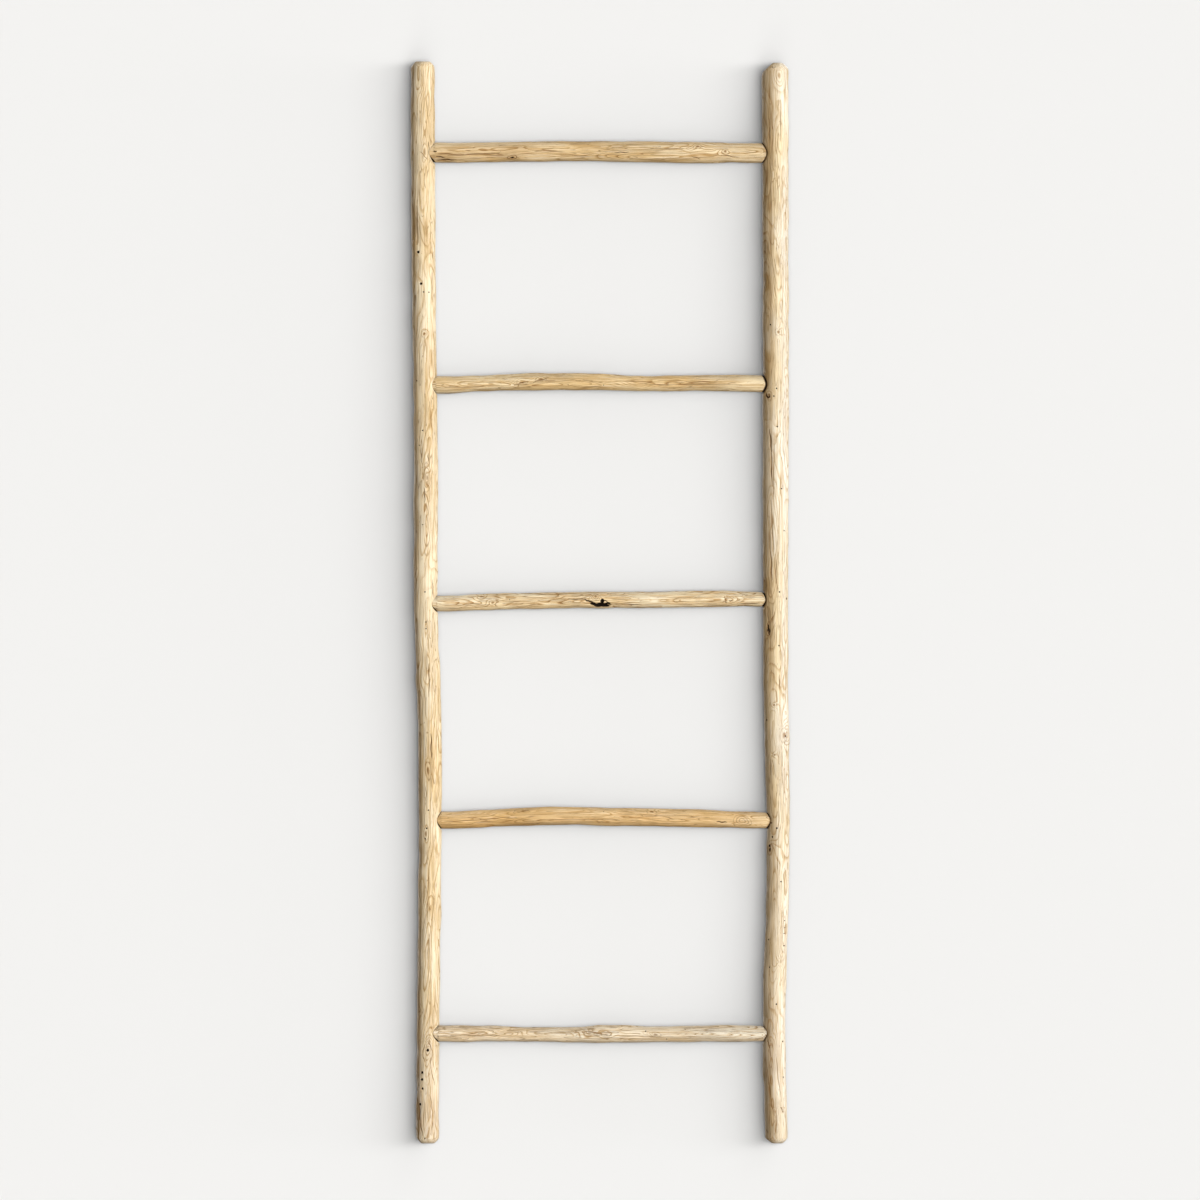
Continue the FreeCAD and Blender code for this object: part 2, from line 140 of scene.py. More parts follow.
class Branch:
    """A packed branch, measured: its middle line and its radius all along it."""

    def __init__(self, node, axis, ways, margin, levels):
        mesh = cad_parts[node].data
        corners = [corner.co for corner in mesh.vertices]
        surface = BVHTree.FromPolygons(corners, [face.vertices for face in mesh.polygons])
        low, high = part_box(node)
        self.axis, self.low, self.high = axis, low, high
        self.levels = np.linspace(low[axis] + margin, high[axis] - margin, levels)
        middle, half = (low + high) / 2, (high.y - low.y) / 2
        measures = []
        for level in self.levels:
            middle[axis] = level
            hits = self.touch(surface, middle, half, ways)
            sums = np.column_stack((2 * hits, np.ones(len(hits))))
            back, rise, rest = np.linalg.lstsq(sums, (hits ** 2).sum(axis=1), rcond=None)[0]
            measures.append((back, rise, math.sqrt(rest + back ** 2 + rise ** 2)))
            middle.y, middle[2 - axis] = back, rise
        self.measures = np.array(measures)
        self.lean(0)

    def lean(self, forward):
        """Bend the branch's first end forward."""
        near = np.exp(-(((self.levels - self.levels[0]) / LEAN_REACH) ** 2))
        self.measures[:, 0] -= forward * near
        self.slopes = np.gradient(self.measures, self.levels[1] - self.levels[0], axis=0)

    def nudge(self, rows):
        """Shift the middle line right or down and let the radius grow, all by pixel."""
        places, shifts, growth = np.array(rows).T
        if self.axis == 0:
            places, shifts = places - FOOT_PIXEL[0], -shifts
        else:
            places, shifts, growth = FOOT_PIXEL[1] - places[::-1], shifts[::-1], growth[::-1]
        self.measures[:, 1] += np.interp(self.levels, places * PIXEL, shifts * PIXEL)
        self.measures[:, 2] += np.interp(self.levels, places * PIXEL, growth * PIXEL)
        self.lean(0)

    def touch(self, surface, middle, half, ways):
        """Where rays from some sides meet the branch at one level: back and across."""
        hits, length = [], Vector((0, 0, 1)) if self.axis == 2 else Vector((1, 0, 0))
        for way in map(Vector, ways):
            cross = way.cross(length)
            for offset in np.linspace(-half / 2, half / 2, RAYS):
                start = middle + cross * offset - way * half * 4
                hit = surface.ray_cast(start, way)[0]
                if hit:
                    hits.append((hit.y, hit[2 - self.axis]))
        return np.array(hits)

    def at(self, along):
        """Middle line (back, across) and radius at any place along the branch."""
        along = np.clip(along, self.levels[0], self.levels[-1])
        row = np.clip(np.searchsorted(self.levels, along) - 1, 0, len(self.levels) - 2)
        step = self.levels[1] - self.levels[0]
        share = ((along - self.levels[row]) / step)[..., None]
        first, second = self.measures[row], self.measures[row + 1]
        rise = share * share * (3 - 2 * share)
        lead = share * (1 - share) ** 2 * step * self.slopes[row]
        trail = share * share * (1 - share) * step * self.slopes[row + 1]
        return (first + (second - first) * rise + lead - trail).T

    def place(self, along, angle, radius):
        """Points at an angle round the middle line, counted from the front, and their radius."""
        back, across, _ = self.at(along)
        back = back - radius * np.cos(angle)
        across = across + radius * np.sin(angle)
        order = (along, back, across) if self.axis == 0 else (across, back, along)
        return np.column_stack(order)

    def polar(self, points):
        """The way back from points: along the branch, angle from the front and radius."""
        along = points[:, self.axis]
        back, across, _ = self.at(along)
        out, side = back - points[:, 1], points[:, 2 - self.axis] - across
        return along, np.arctan2(side, out), np.hypot(side, out)

    def seen(self, across, down):
        """Place along the branch and angle round it of a pixel of the photograph."""
        spot = ((across - FOOT_PIXEL[0]) * PIXEL, (FOOT_PIXEL[1] - down) * PIXEL)
        along, aside = (spot[0], spot[1]) if self.axis == 0 else (spot[1], spot[0])
        _, middle, radius = self.at(along)
        return along, math.asin(max(-0.97, min(0.97, (aside - middle) / radius)))


def ripples(draw, count, turns, lengths):
    """A smooth random pattern round and along a branch, as a function that gives about -1 to 1."""
    around = draw.randint(turns[0], turns[1] + 1, count)
    along = 2 * math.pi / draw.uniform(*lengths, count) * draw.choice((-1, 1), count)
    phase = draw.uniform(0, 2 * math.pi, count)

    def pattern(place, angle):
        waves = np.outer(angle, around) + np.outer(place, along) + phase
        return np.cos(waves).sum(axis=1) * math.sqrt(1 / count)

    return pattern


def wrapped(angle):
    return (angle + math.pi) % (2 * math.pi) - math.pi


class Skin:
    """What grew on a branch or was cut in it: knots, dents, cracks, stains and growth rings, and
    the light and shade painted on its sides, rims and recesses.
    """

    def __init__(self, branch, seed, figure):
        self.branch, self.figure = branch, figure
        self.draw = draw = np.random.RandomState(seed)
        self.lumps = ripples(draw, 30, (0, 3), (50 * MM, 180 * MM))
        self.facets = ripples(draw, 30, (2, 6), (26 * MM, 90 * MM))
        self.wander = ripples(draw, 16, (1, 3), (320 * MM, 1100 * MM))
        self.curls = ripples(draw, 30, (3, 8), (50 * MM, 180 * MM))
        self.knots, self.dents, self.cracks, self.mouths = [], [], [], []
        self.entries, self.bands = [], []

    def distance(self, along, angle, spot, length, width):
        """How far skin is from a spot, in shares of an uneven ellipse round it."""
        far = np.full(len(along), 9.0)
        close = np.abs(along - spot[0]) < 3.5 * length
        radius = self.branch.at(spot[0])[2]
        ahead = (along[close] - spot[0]) / length
        aside = wrapped(angle[close] - spot[1]) * radius / width
        turn = np.arctan2(aside, ahead) + 900 * spot[0]
        uneven = 1 + 0.10 * np.cos(2 * turn) + 0.07 * np.cos(3 * turn)
        far[close] = np.hypot(ahead, aside) * uneven
        return far

    def crack_distance(self, along, angle, ends):
        """How far skin is from the line between two spots, and where along that line it is."""
        far, share = np.full(len(along), 9.0), np.zeros(len(along))
        (start, turn), (end, end_turn) = ends
        close = np.abs(along - (start + end) / 2) < abs(end - start) / 2 + 6 * MM
        radius = self.branch.at(start)[2]
        ahead, aside = along[close] - start, wrapped(angle[close] - turn) * radius
        run, sidle = end - start, (end_turn - turn) * radius
        near = np.clip((ahead * run + aside * sidle) / (run * run + sidle * sidle), 0, 1)
        bend = CRACK_BEND * np.sin(3 * math.pi * near + 700 * start)
        far[close] = np.hypot(ahead - near * run, aside - near * sidle - bend)
        share[close] = near
        return far, share

    def crack(self, along, angle, ends, width):
        """1 in the middle of a crack, fading across it and towards its ends."""
        far, share = self.crack_distance(along, angle, ends)
        slit = width * (0.35 + 0.65 * np.sin(math.pi * share))
        return np.exp(-((far / slit) ** 2))

    def marked(self, along, angle, margin):
        """Whether skin lies in or near any mark."""
        near = np.zeros(len(along), bool)
        for spot, length, width, *_, shade in self.knots:
            if shade != 0:
                near |= self.distance(along, angle, spot, length, width) < margin
        for ends, width, *_ in self.cracks:
            near |= self.crack_distance(along, angle, ends)[0] < margin * (width + 0.5 * MM)
        return near

    def mouth_lift(self, along, angle, mouth):
        """The eased rim of a bored mouth, with a low lip round it."""
        off = self.mouth_distance(along, angle, mouth)
        ease = np.clip(1 - off / MOUTH_WIDTH, 0, 1)
        lip = np.exp(-(((off - 1.6 * MOUTH_WIDTH) / MOUTH_WIDTH) ** 2))
        return MOUTH_LIP * lip - MOUTH_DEPTH * ease * ease

    def mouth_distance(self, along, angle, mouth):
        """How far skin is from the rim of a mouth, which is nearly round."""
        way, back, rise, reach, *_ = mouth
        far = np.full(len(along), 1.0)
        close = (np.abs(along - rise) < reach + MOUTH_REACH) & (np.sin(angle) * way > 0)
        middle, _, radius = self.branch.at(along[close])
        over = middle - radius * np.cos(angle[close]) - back
        far[close] = np.hypot(along[close] - rise, over) - reach
        return far

    def lift(self, along, angle):
        """How far the skin stands proud of a plain round branch."""
        high = LUMP_HEIGHT * self.lumps(along, angle) + FACET_HEIGHT * self.facets(along, angle)
        for spot, length, width, rise, _, shade in self.knots:
            far = self.distance(along, angle, spot, length, width)
            high += rise * (1.2 * np.exp(-((far / 1.6) ** 2)) - 0.9 * np.exp(-((far / 0.5) ** 2)))
            high -= KNOT_GROOVE * (shade > 0) * np.exp(-(((far - 1) / 0.16) ** 2))
        for spot, length, width, rise in self.dents:
            high += rise * np.exp(-self.distance(along, angle, spot, length, width) ** 2)
        for ends, width, depth, _ in self.cracks:
            high -= depth * self.crack(along, angle, ends, width)
        for mouth in self.mouths:
            high += self.mouth_lift(along, angle, mouth)
        return high

    def rings(self, along, angle, radius):
        """Which growth ring lies at a point, counted from the branch's heart."""
        count, (wander, curl) = radius / GROWTH_RING, self.figure
        count += wander * self.wander(along, angle) + curl * self.curls(along, angle)
        for spot, length, width, _, more, _ in self.knots:
            far = self.distance(along, angle, spot, length, width)
            count += more * np.exp(-((far / 1.4) ** 2))
        return count

    def dirt_and_shade(self, along, angle, radius):
        """How dark the wood is: dirt in cracks and holes, knots' hearts, and painted shade inside
        holes, sockets and the hollow, in the socket mouths and where the rungs go into the poles.
        """
        dark = np.zeros(len(along))
        for spot, length, width, _, _, shade in self.knots:
            far = self.distance(along, angle, spot, length, width)
            dark = np.maximum(dark, shade * np.exp(-((far / 0.45) ** 4)))
            dark = np.maximum(dark, 0.5 * shade * np.exp(-(((far - 1) / 0.15) ** 2)))
            swirl = (0.5 + 0.5 * np.cos(2 * math.pi * SWIRL_RINGS * far)) ** 3
            dark = np.maximum(dark, -shade * swirl * np.exp(-((far / 1.15) ** 8)))
        for ends, width, _, shade in self.cracks:
            dark = np.maximum(dark, shade * self.crack(along, angle, ends, width))
        # Painted shade and dirt start deeper inside the socket mouths; the mouths get grime and
        # painted shade, on the left pole only on their lower side
        clean = np.full(len(along), UNSHADED_SKIN)
        for mouth in self.mouths:
            *_, rise, reach, depth, grime_and_shade = mouth
            off = self.mouth_distance(along, angle, mouth)
            clean[off < 3 * MM] = depth
            below = 1 if depth < MM else np.clip(0.5 - (along - rise) / reach, 0, 1)
            dark = np.maximum(dark, 0.95 * below * np.exp(-((np.maximum(off, 0) / grime_and_shade) ** 2)))
        # Grime and painted shade on a rung where it goes into a pole, wider at its top and bottom
        for pole, edge, above, below in self.entries:
            back, across, _ = self.branch.at(along)
            over, aside, rim = pole.at(across + radius * np.sin(angle))
            gap = np.hypot(along - aside, back - radius * np.cos(angle) - over) - rim
            edge = edge + np.where(angle > 0, above, below) * np.sin(angle) ** 2
            dark = np.maximum(dark, 0.95 * np.clip(0.5 - (gap - edge) / MM, 0, 1))
        # Painted shade, with some dirt, on every surface cut below the skin: holes, sockets and
        # the hollow
        skin = self.branch.at(along)[2] + self.lift(along, angle)
        inner = (along > self.branch.levels[0]) & (along < self.branch.levels[-1])
        return np.maximum(dark, inner * np.clip((skin - radius - clean) / RECESS_SHADE_FADE, 0, 1))

    def whorls(self, along, angle):
        """1 in the knots and their figures, where the growth rings always show."""
        near = np.zeros(len(along))
        for spot, length, width, *_ in self.knots:
            far = self.distance(along, angle, spot, length, width)
            near = np.maximum(near, np.exp(-((far / 1.6) ** 4)))
        return near

    def weather_and_side_light(self, along, angle):
        """How bleached (above 0) or browned (below 0) the skin is; the long bands and the socket
        rims paint light and shade this way too.
        """
        tone = np.zeros(len(along))
        for middle, length, turn, width, strength in self.bands:
            over = np.clip(np.abs(along - middle) / length, 0, 9)
            aside = wrapped(angle - turn) / width
            tone += strength * np.exp(-aside ** 2 - over ** 6)
        for mouth in self.mouths:
            off = self.mouth_distance(along, angle, mouth)
            # A painted highlight round the left pole's mouths and painted shade round the right
            # pole's
            tone += RIM_HIGHLIGHT_AND_SHADE[mouth[0]] * np.exp(-(((off - MM) / (1.5 * MM)) ** 2))
        return tone


def branch_mesh(name, skin, around, stations):
    """A closed branch: a many-sided cylinder cut into rings, each moved to its station.

    The rings are cut finer near marks.
    """
    shape = bmesh.new()
    bmesh.ops.create_cone(shape, cap_ends=True, segments=around, radius1=1, radius2=1, depth=2)
    sides = [edge for edge in shape.edges if edge.verts[0].co.z * edge.verts[1].co.z < 0]
    bmesh.ops.subdivide_edges(shape, edges=sides, cuts=len(stations) - 2, use_grid_fill=True)
    for margin in MARK_MARGINS:
        points = np.array([corner.co for corner in shape.verts])
        marked = skin.marked(*unrolled(points, stations)[:2], margin)
        shape.verts.index_update()
        edges = [edge for edge in shape.edges if all(marked[end.index] for end in edge.verts)]
        bmesh.ops.subdivide_edges(shape, edges=edges, cuts=1, use_grid_fill=True)
    bmesh.ops.recalc_face_normals(shape, faces=shape.faces)
    piece = new_piece(name, shape)
    along, angle, inset = unrolled(corner_places(piece), stations)
    radius = skin.branch.at(along)[2]
    radius = radius - inset + skin.lift(along, angle) * np.clip(1 - inset / radius, 0, 1)
    places = skin.branch.place(along, angle, radius).astype(np.float32)
    piece.data.vertices.foreach_set("co", places.ravel())
    if skin.branch.axis == 0:
        piece.data.flip_normals()
    return piece


def new_piece(name, shape):
    """Make a finished shape an object of the scene."""
    mesh = bpy.data.meshes.new(name)
    shape.to_mesh(mesh)
    shape.free()
    piece = bpy.data.objects.new(name, mesh)
    bpy.context.scene.collection.objects.link(piece)
    return piece


def unrolled(points, stations):
    """Place along a branch, angle and inset of points on the plain cylinder it is made from."""
    rows = (points[:, 2] + 1) / 2 * (len(stations) - 1)
    along, inset = (np.interp(rows, range(len(stations)), values) for values in stations.T)
    return along, np.arctan2(points[:, 1], points[:, 0]), inset


def corner_places(piece):
    """All corners of a piece as rows of x, y and z."""
    places = np.empty(len(piece.data.vertices) * 3, np.float32)
    piece.data.vertices.foreach_get("co", places)
    return places.reshape(-1, 3).astype(float)


def pole_stations(branch, foot_round, top_round, close_to):
    """Rows of (place along, inset from the skin) from the foot's middle up to the top's.

    They lie closer together near the sockets' levels.
    """
    rows = []
    for end, way, rounding in ((branch.low[2], 1, foot_round), (branch.high[2], -1, top_round)):
        radius = branch.at(end)[2]
        steps = [(end, radius - share * (radius - rounding))
                 for share in np.linspace(0.06, 1, FLAT_STEPS)[:-1]]
        for turn in np.linspace(0, math.pi / 2, ROUND_STEPS):
            height = end + way * rounding * (1 - math.cos(turn))
            steps.append((height, rounding * (1 - math.sin(turn))))
        rows.append(steps)
    low, high = rows[0][-1][0], rows[1][-1][0]
    sides, level = [], low + SPARSE_STEP / 2
    while level < high - SPARSE_STEP / 2:
        sides.append((level, 0))
        near = min(abs(level - rise) for rise in close_to)
        level += CLOSE_STEP if near < CLOSE_REACH else SPARSE_STEP
    return np.array(rows[0] + sides + rows[1][::-1])


def rasp(piece, shoulders):
    """Take off what stands beyond some slanting planes, each by pixel and way, softly."""
    places = corner_places(piece)
    for across, down, way, soft in shoulders:
        spot = ((across - FOOT_PIXEL[0]) * PIXEL, 0, (FOOT_PIXEL[1] - down) * PIXEL)
        way = np.array((math.cos(math.radians(way)), 0, math.sin(math.radians(way))))
        over = (places - spot) @ way / (soft * MM)
        places -= np.outer(soft * MM * np.logaddexp(0, over), way)
    piece.data.vertices.foreach_set("co", places.astype(np.float32).ravel())


def drill(target, bits):
    """Cut clean round holes: each bit has a start, an end, and a radius at both."""
    shape = bmesh.new()
    for start, end, start_radius, end_radius in bits:
        run = end - start
        made = bmesh.ops.create_cone(
            shape, cap_ends=True, segments=WIDE_SIDES if start_radius > WIDE_BIT else FINE_SIDES,
            radius1=start_radius, radius2=end_radius, depth=run.length,
        )
        turn = run.to_track_quat("Z", "Y").to_matrix().to_4x4()
        sides = {edge for corner in made["verts"] for edge in corner.link_edges
                 if edge.verts[0].co.z * edge.verts[1].co.z < 0}
        bmesh.ops.transform(
            shape, verts=made["verts"], matrix=Matrix.Translation((start + end) / 2) @ turn
        )
        bmesh.ops.subdivide_edges(
            shape, edges=list(sides), cuts=math.ceil(run.length / BIT_STEP), use_grid_fill=True
        )
    cut(target, shape)


def cut(target, shape):
    """Take a closed shape away from a piece."""
    bmesh.ops.recalc_face_normals(shape, faces=shape.faces)
    cutter = new_piece("cutter", shape)
    carve = target.modifiers.new("carve", "BOOLEAN")
    carve.operation, carve.solver, carve.object = "DIFFERENCE", "MANIFOLD", cutter
    view = bpy.context.evaluated_depsgraph_get()
    view.update()
    carved = bpy.data.meshes.new_from_object(target.evaluated_get(view))
    target.modifiers.clear()
    target.data = carved
    bpy.data.objects.remove(cutter)


def paint_marks(piece, skin):
    """Write each corner's growth ring, dirt and painted shade, weathering and painted light, and
    knots on the mesh.

    Faces that the cuts left doubled go first.
    """
    piece.data.validate()
    spots = skin.branch.polar(corner_places(piece))
    layers = {
        "rings": skin.rings(*spots), "dirt_and_shade": skin.dirt_and_shade(*spots),
        "weather_and_side_light": skin.weather_and_side_light(*spots[:2]), "whorls": skin.whorls(*spots[:2]),
    }
    for name, values in layers.items():
        layer = piece.data.attributes.new(name, "FLOAT", "POINT")
        layer.data.foreach_set("value", values.astype(np.float32))
    piece.data.shade_smooth()


def coat(piece, finish):
    """Give a whole piece one material."""
    piece.data.materials.clear()
    piece.data.materials.append(finish)
    piece.data.polygons.foreach_set("material_index", [0] * len(piece.data.polygons))


def beetle_holes(skin, holes):
    """Bits for round holes a few millimetres deep, from (along, angle) and width."""
    bits = []
    for (along, angle), width in holes:
        radius = skin.branch.at(along)[2]
        ends = [skin.branch.place(along, angle, reach)[0]
                for reach in (radius - HOLE_DEPTH, radius + HOLE_RUNOUT)]
        bits.append((Vector(ends[0]), Vector(ends[1]), width / 2, width / 2))
    return bits


def nail_line(node):
    """A packed nail's tip, its head's top and its radius there."""
    points = np.array([corner.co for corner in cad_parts[node].data.vertices])
    middle = points.mean(axis=0)
    way = np.linalg.svd(points - middle, full_matrices=False)[2][0]
    way *= np.sign(way[0] * middle[0])
    reach = (points - middle) @ way
    top = points[reach > reach.max() - 0.01 * MM]
    low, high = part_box(node)
    centre = top.mean(axis=0)
    tip = centre - way * (reach.max() - reach.min())
    return Vector(tip), Vector(centre), (high.z - low.z) / 2


FRONT_AND_BACK = ((0, 1, 0), (0, -1, 0))
BACK_AND_ABOVE = ((0, -1, 0), (0, 0, -1))

POLES = {
    side: Branch(f"{side}_rail", 2, FRONT_AND_BACK, POLE_MARGIN, POLE_LEVELS)
    for side in ("left", "right")
}
RUNGS = {
    rung: Branch(f"rung_{rung}", 0, BACK_AND_ABOVE, TENON_LENGTH + 2 * MM, RUNG_LEVELS)
    for rung in range(1, 6)
}
for rung, forward in RUNG_LEANS.items():
    RUNGS[rung].lean(forward)

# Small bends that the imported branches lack, by pixel: place along, shift right or down, growth
POLE_NUDGES = {
    "left": ((900, 0, 0), (1040, 0.8, 0), (1120, -0.3, 0)),
    "right": ((1030, 0, 0), (1080, -1.6, 0), (1120, -1.5, 0), (1143, -1.2, 0.3)),
}
RUNG_NUDGES = {
    1: ((435, -0.3, 0), (600, -0.1, 0), (700, 0.4, 0), (760, 0.7, -0.2)),
    2: (
        (435, -1.3, 0), (470, -0.8, 0), (510, -0.1, 0), (600, 0.4, 0), (700, 0.1, 0),
        (760, 0.8, 0),
    ),
    3: (
        (435, -1.5, -0.2), (500, -0.9, -0.6), (545, 0, -0.5), (590, 0.8, 0.2), (650, 0.3, 0),
        (690, -0.4, -0.6), (760, 0.5, -0.4),
    ),
    4: (
        (435, -0.7, -0.4), (510, -0.1, -0.3), (570, 0.4, -0.4), (640, 0.4, -0.6), (700, 0, -0.5),
        (760, 0.9, -0.8),
    ),
    5: (
        (435, -0.5, -0.2), (510, 0.3, 0), (590, 0.4, 0), (640, 0.9, -0.2), (690, 1.7, -0.2),
        (760, 1.4, 0),
    ),
}
for branches, nudges in ((POLES, POLE_NUDGES), (RUNGS, RUNG_NUDGES)):
    for name, rows in nudges.items():
        branches[name].nudge(rows)

# What the photograph shows on each pole, by pixel: knots with their half length and half
# width in millimetres, the skin's rise there, the growth rings they add and their shade,
# which is below 0 for a swirl of rings without a knot
POLE_KNOTS = {
    "left": (
        (425, 152, 12, 5, 0.5, 1.6, 0.35),
        (424.5, 334, 5, 4, 0.3, 1.2, 0.55),
        (427.5, 478, 9, 4, 0.7, 1.6, 0.4),
        (427, 527, 49, 7.5, 0, 1.6, -0.36),
        (427.5, 478, 21, 8, 0, 1.2, -0.34),
        (425, 105, 50, 9, 0, 2, 0),
        (424.5, 912, 70, 10, 0, 2.2, 0),
        (428.5, 771, 14, 5, -0.6, 1.5, 0.45),
        (426, 834, 9, 5, 0.4, 1.8, 0.4),
        (428.2, 1050.4, 18, 8, 0.4, 3.6, 0),
        (428.2, 1050.4, 7, 4.6, 0.4, 1.2, 0.45),
        (420.5, 1011, 9, 4, -0.5, 1.2, 0.35),
    ),
    "right": (
        (779.5, 76, 11, 6, 0.5, 2.4, 0.3),
        (779, 258, 20, 7, 0.2, 2.2, 0.12),
        (778.7, 332.4, 6, 5, 0.5, 2.2, 0.45),
        (769.5, 395.4, 7, 5, 0.6, 2.4, 0.6),
        (768.4, 629.5, 11, 4.2, -0.9, 1.6, 1),
        (774.4, 705.2, 4, 3.5, 0.2, 1.4, 0.5),
        (784.4, 735.5, 12, 7, 0.9, 3.2, 0.42),
        (775.1, 755.2, 4, 3.5, 0.2, 1.4, 0.5),
        (770.5, 850, 9, 5, 0.6, 2.2, 0.85),
        (784, 936, 42, 6.5, 0.2, 2, -0.28),
        (781, 962, 8, 6, 0.4, 2.2, 0.25),
        (776, 200, 60, 9, 0, 2.2, 0),
        (774, 560, 60, 8, 0, 2.4, 0),
        (780, 670, 45, 8, 0, 2, 0),
        (775.5, 1112, 7, 6, -0.6, 1.2, 0.3),
    ),
}

# Lumps and dents that only bend the outline: half length, half width and rise
POLE_DENTS = {
    "left": (
        (416, 682.5, 12, 9, 1.3),
        (414, 225, 30, 10, -0.9),
        (436, 300, 30, 9, 0.5),
        (418.5, 857, 16, 9, -0.8),
        (441, 915, 30, 9, 0.6),
        (417.5, 1118, 20, 9, -0.7),
        (437, 1075, 22, 9, -0.6),
    ),
    "right": (
        (764, 283, 12, 9, -1),
        (789, 365, 12, 9, -1),
        (767.2, 420, 8, 6, -0.9),
        (765.3, 586, 7, 5, -1.1),
        (787.3, 713.6, 6, 6, -1),
        (791, 740, 14, 9, 1),
        (790, 800, 16, 9, 0.8),
        (790, 905, 18, 9, 0.9),
        (789.5, 985, 14, 9, 0.7),
        (765.8, 1015, 10, 7, -0.9),
        (787, 1080, 14, 9, 0.8),
        (766, 1081, 7, 7, -0.9),
        (785, 1112, 8, 6, -0.8),
        (775, 1128, 9, 8, 0.5),
    ),
}

# Shoulders rasped off the ends: a pixel on the slant, the way it faces in degrees and its
# softness in millimetres
POLE_SHOULDERS = {
    "left": (
        (413.4, 64.8, 140, 0.8), (433.8, 65.4, 40, 0.8), (419.2, 1141, 220, 0.8),
        (437.4, 1141.4, -42, 1),
    ),
    "right": (
        (767.2, 68.6, 133, 1.3), (787.4, 67.4, 45, 1), (768.4, 1140.6, 232, 1),
        (786.3, 1140.6, -45, 0.8),
    ),
}

# Cracks and dark streaks, from one pixel to another, with half width, depth and shade
POLE_CRACKS = {
    "left": (
        (429.2, 142, 429.2, 156, 0.7, 0.5, 0.8),
        (420.6, 151.6, 428, 160.2, 0.8, 0.4, 0.55),
        (417.2, 206, 417.2, 245, 1.6, 0.3, 0.45),
        (425.2, 1045, 422.4, 1055, 0.8, 0.3, 0.5),
        (422.4, 1054, 425.8, 1063, 0.8, 0.3, 0.5),
        (428.2, 1041, 433, 1052, 0.8, 0.3, 0.5),
        (433.2, 1051, 430.2, 1067, 0.8, 0.3, 0.5),
        (430.2, 1066, 435.4, 1086, 0.8, 0.3, 0.5),
        (424.4, 1100, 424, 1134, 0.8, 0.3, 0.5),
        (430.4, 1095, 432.8, 1114, 0.8, 0.3, 0.5),
        (432.9, 1113, 431.6, 1136, 0.8, 0.3, 0.5),
        (421.5, 448, 421.5, 462, 0.7, 0.4, 0.7),
        (428.7, 454, 428.7, 463, 0.7, 0.4, 0.7),
        (420.6, 468.5, 429.2, 466.2, 0.7, 0.3, 0.45),
        (424.5, 488, 425.2, 503, 0.6, 0.6, 0.85),
        (433, 580, 433, 597, 0.7, 0.4, 0.65),
        (429, 664, 429.4, 698, 0.7, 0.4, 0.6),
        (419, 727.4, 425.3, 722.7, 0.7, 0.5, 0.7),
        (424.5, 734, 429.5, 732.5, 0.7, 0.4, 0.5),
        (431.5, 734, 431.5, 758, 0.7, 0.7, 0.85),
        (426.3, 786, 426.3, 802, 0.7, 0.4, 0.6),
        (419.6, 1106, 420.6, 1123, 1, 0.6, 0.8),
        (420.4, 1121, 422.6, 1135, 0.9, 0.6, 0.8),
        (431, 884, 421, 952, 0.8, 0.2, 0.35),
        (435, 896, 427, 960, 0.8, 0.2, 0.3),
    ),
    "right": (
        (781, 100, 781, 142, 0.7, 0.4, 0.55),
        (769.6, 128, 769.6, 141, 0.7, 0.4, 0.6),
        (766.4, 394, 767.8, 398.4, 2.1, 1.2, 1),
        (767.8, 398.4, 770.6, 396.4, 1.6, 1, 1),
        (770, 430, 771.8, 452, 0.9, 0.8, 0.95),
        (771.8, 451, 772.2, 487, 0.8, 0.6, 0.8),
        (774.5, 440, 773.5, 500, 0.7, 0.4, 0.55),
        (771, 500, 774, 556, 0.7, 0.5, 0.65),
        (771, 552, 772.5, 580, 0.8, 0.5, 0.8),
        (776, 560, 777.5, 598, 0.7, 0.4, 0.55),
        (775.8, 612, 769.6, 625, 0.7, 0.4, 0.6),
        (767.6, 624, 768.4, 630, 2.2, 1.6, 1),
        (769.6, 629, 768.6, 635.5, 1.8, 1.4, 1),
        (779.8, 675, 779.8, 690, 0.7, 0.4, 0.6),
        (770.6, 760, 770.6, 777, 0.7, 0.4, 0.55),
        (768.5, 1046, 773, 1045.2, 0.7, 0.4, 0.55),
        (767.4, 1069, 773, 1111, 0.8, 0.3, 0.55),
        (776.1, 1055, 781.8, 1102, 0.8, 0.3, 0.5),
        (767.8, 1040, 770.2, 1049, 0.8, 0.5, 0.8),
        (781, 1107, 784, 1113, 0.8, 0.5, 0.75),
        (770.6, 1104, 773, 1110, 0.8, 0.4, 0.65),
        (777, 1108, 776.4, 1134, 0.8, 0.3, 0.45),
        (767.4, 606, 768.6, 623, 0.9, 0.5, 0.75),
        (770.4, 823.4, 772.4, 823.2, 1.3, 0.9, 1),
    ),
}

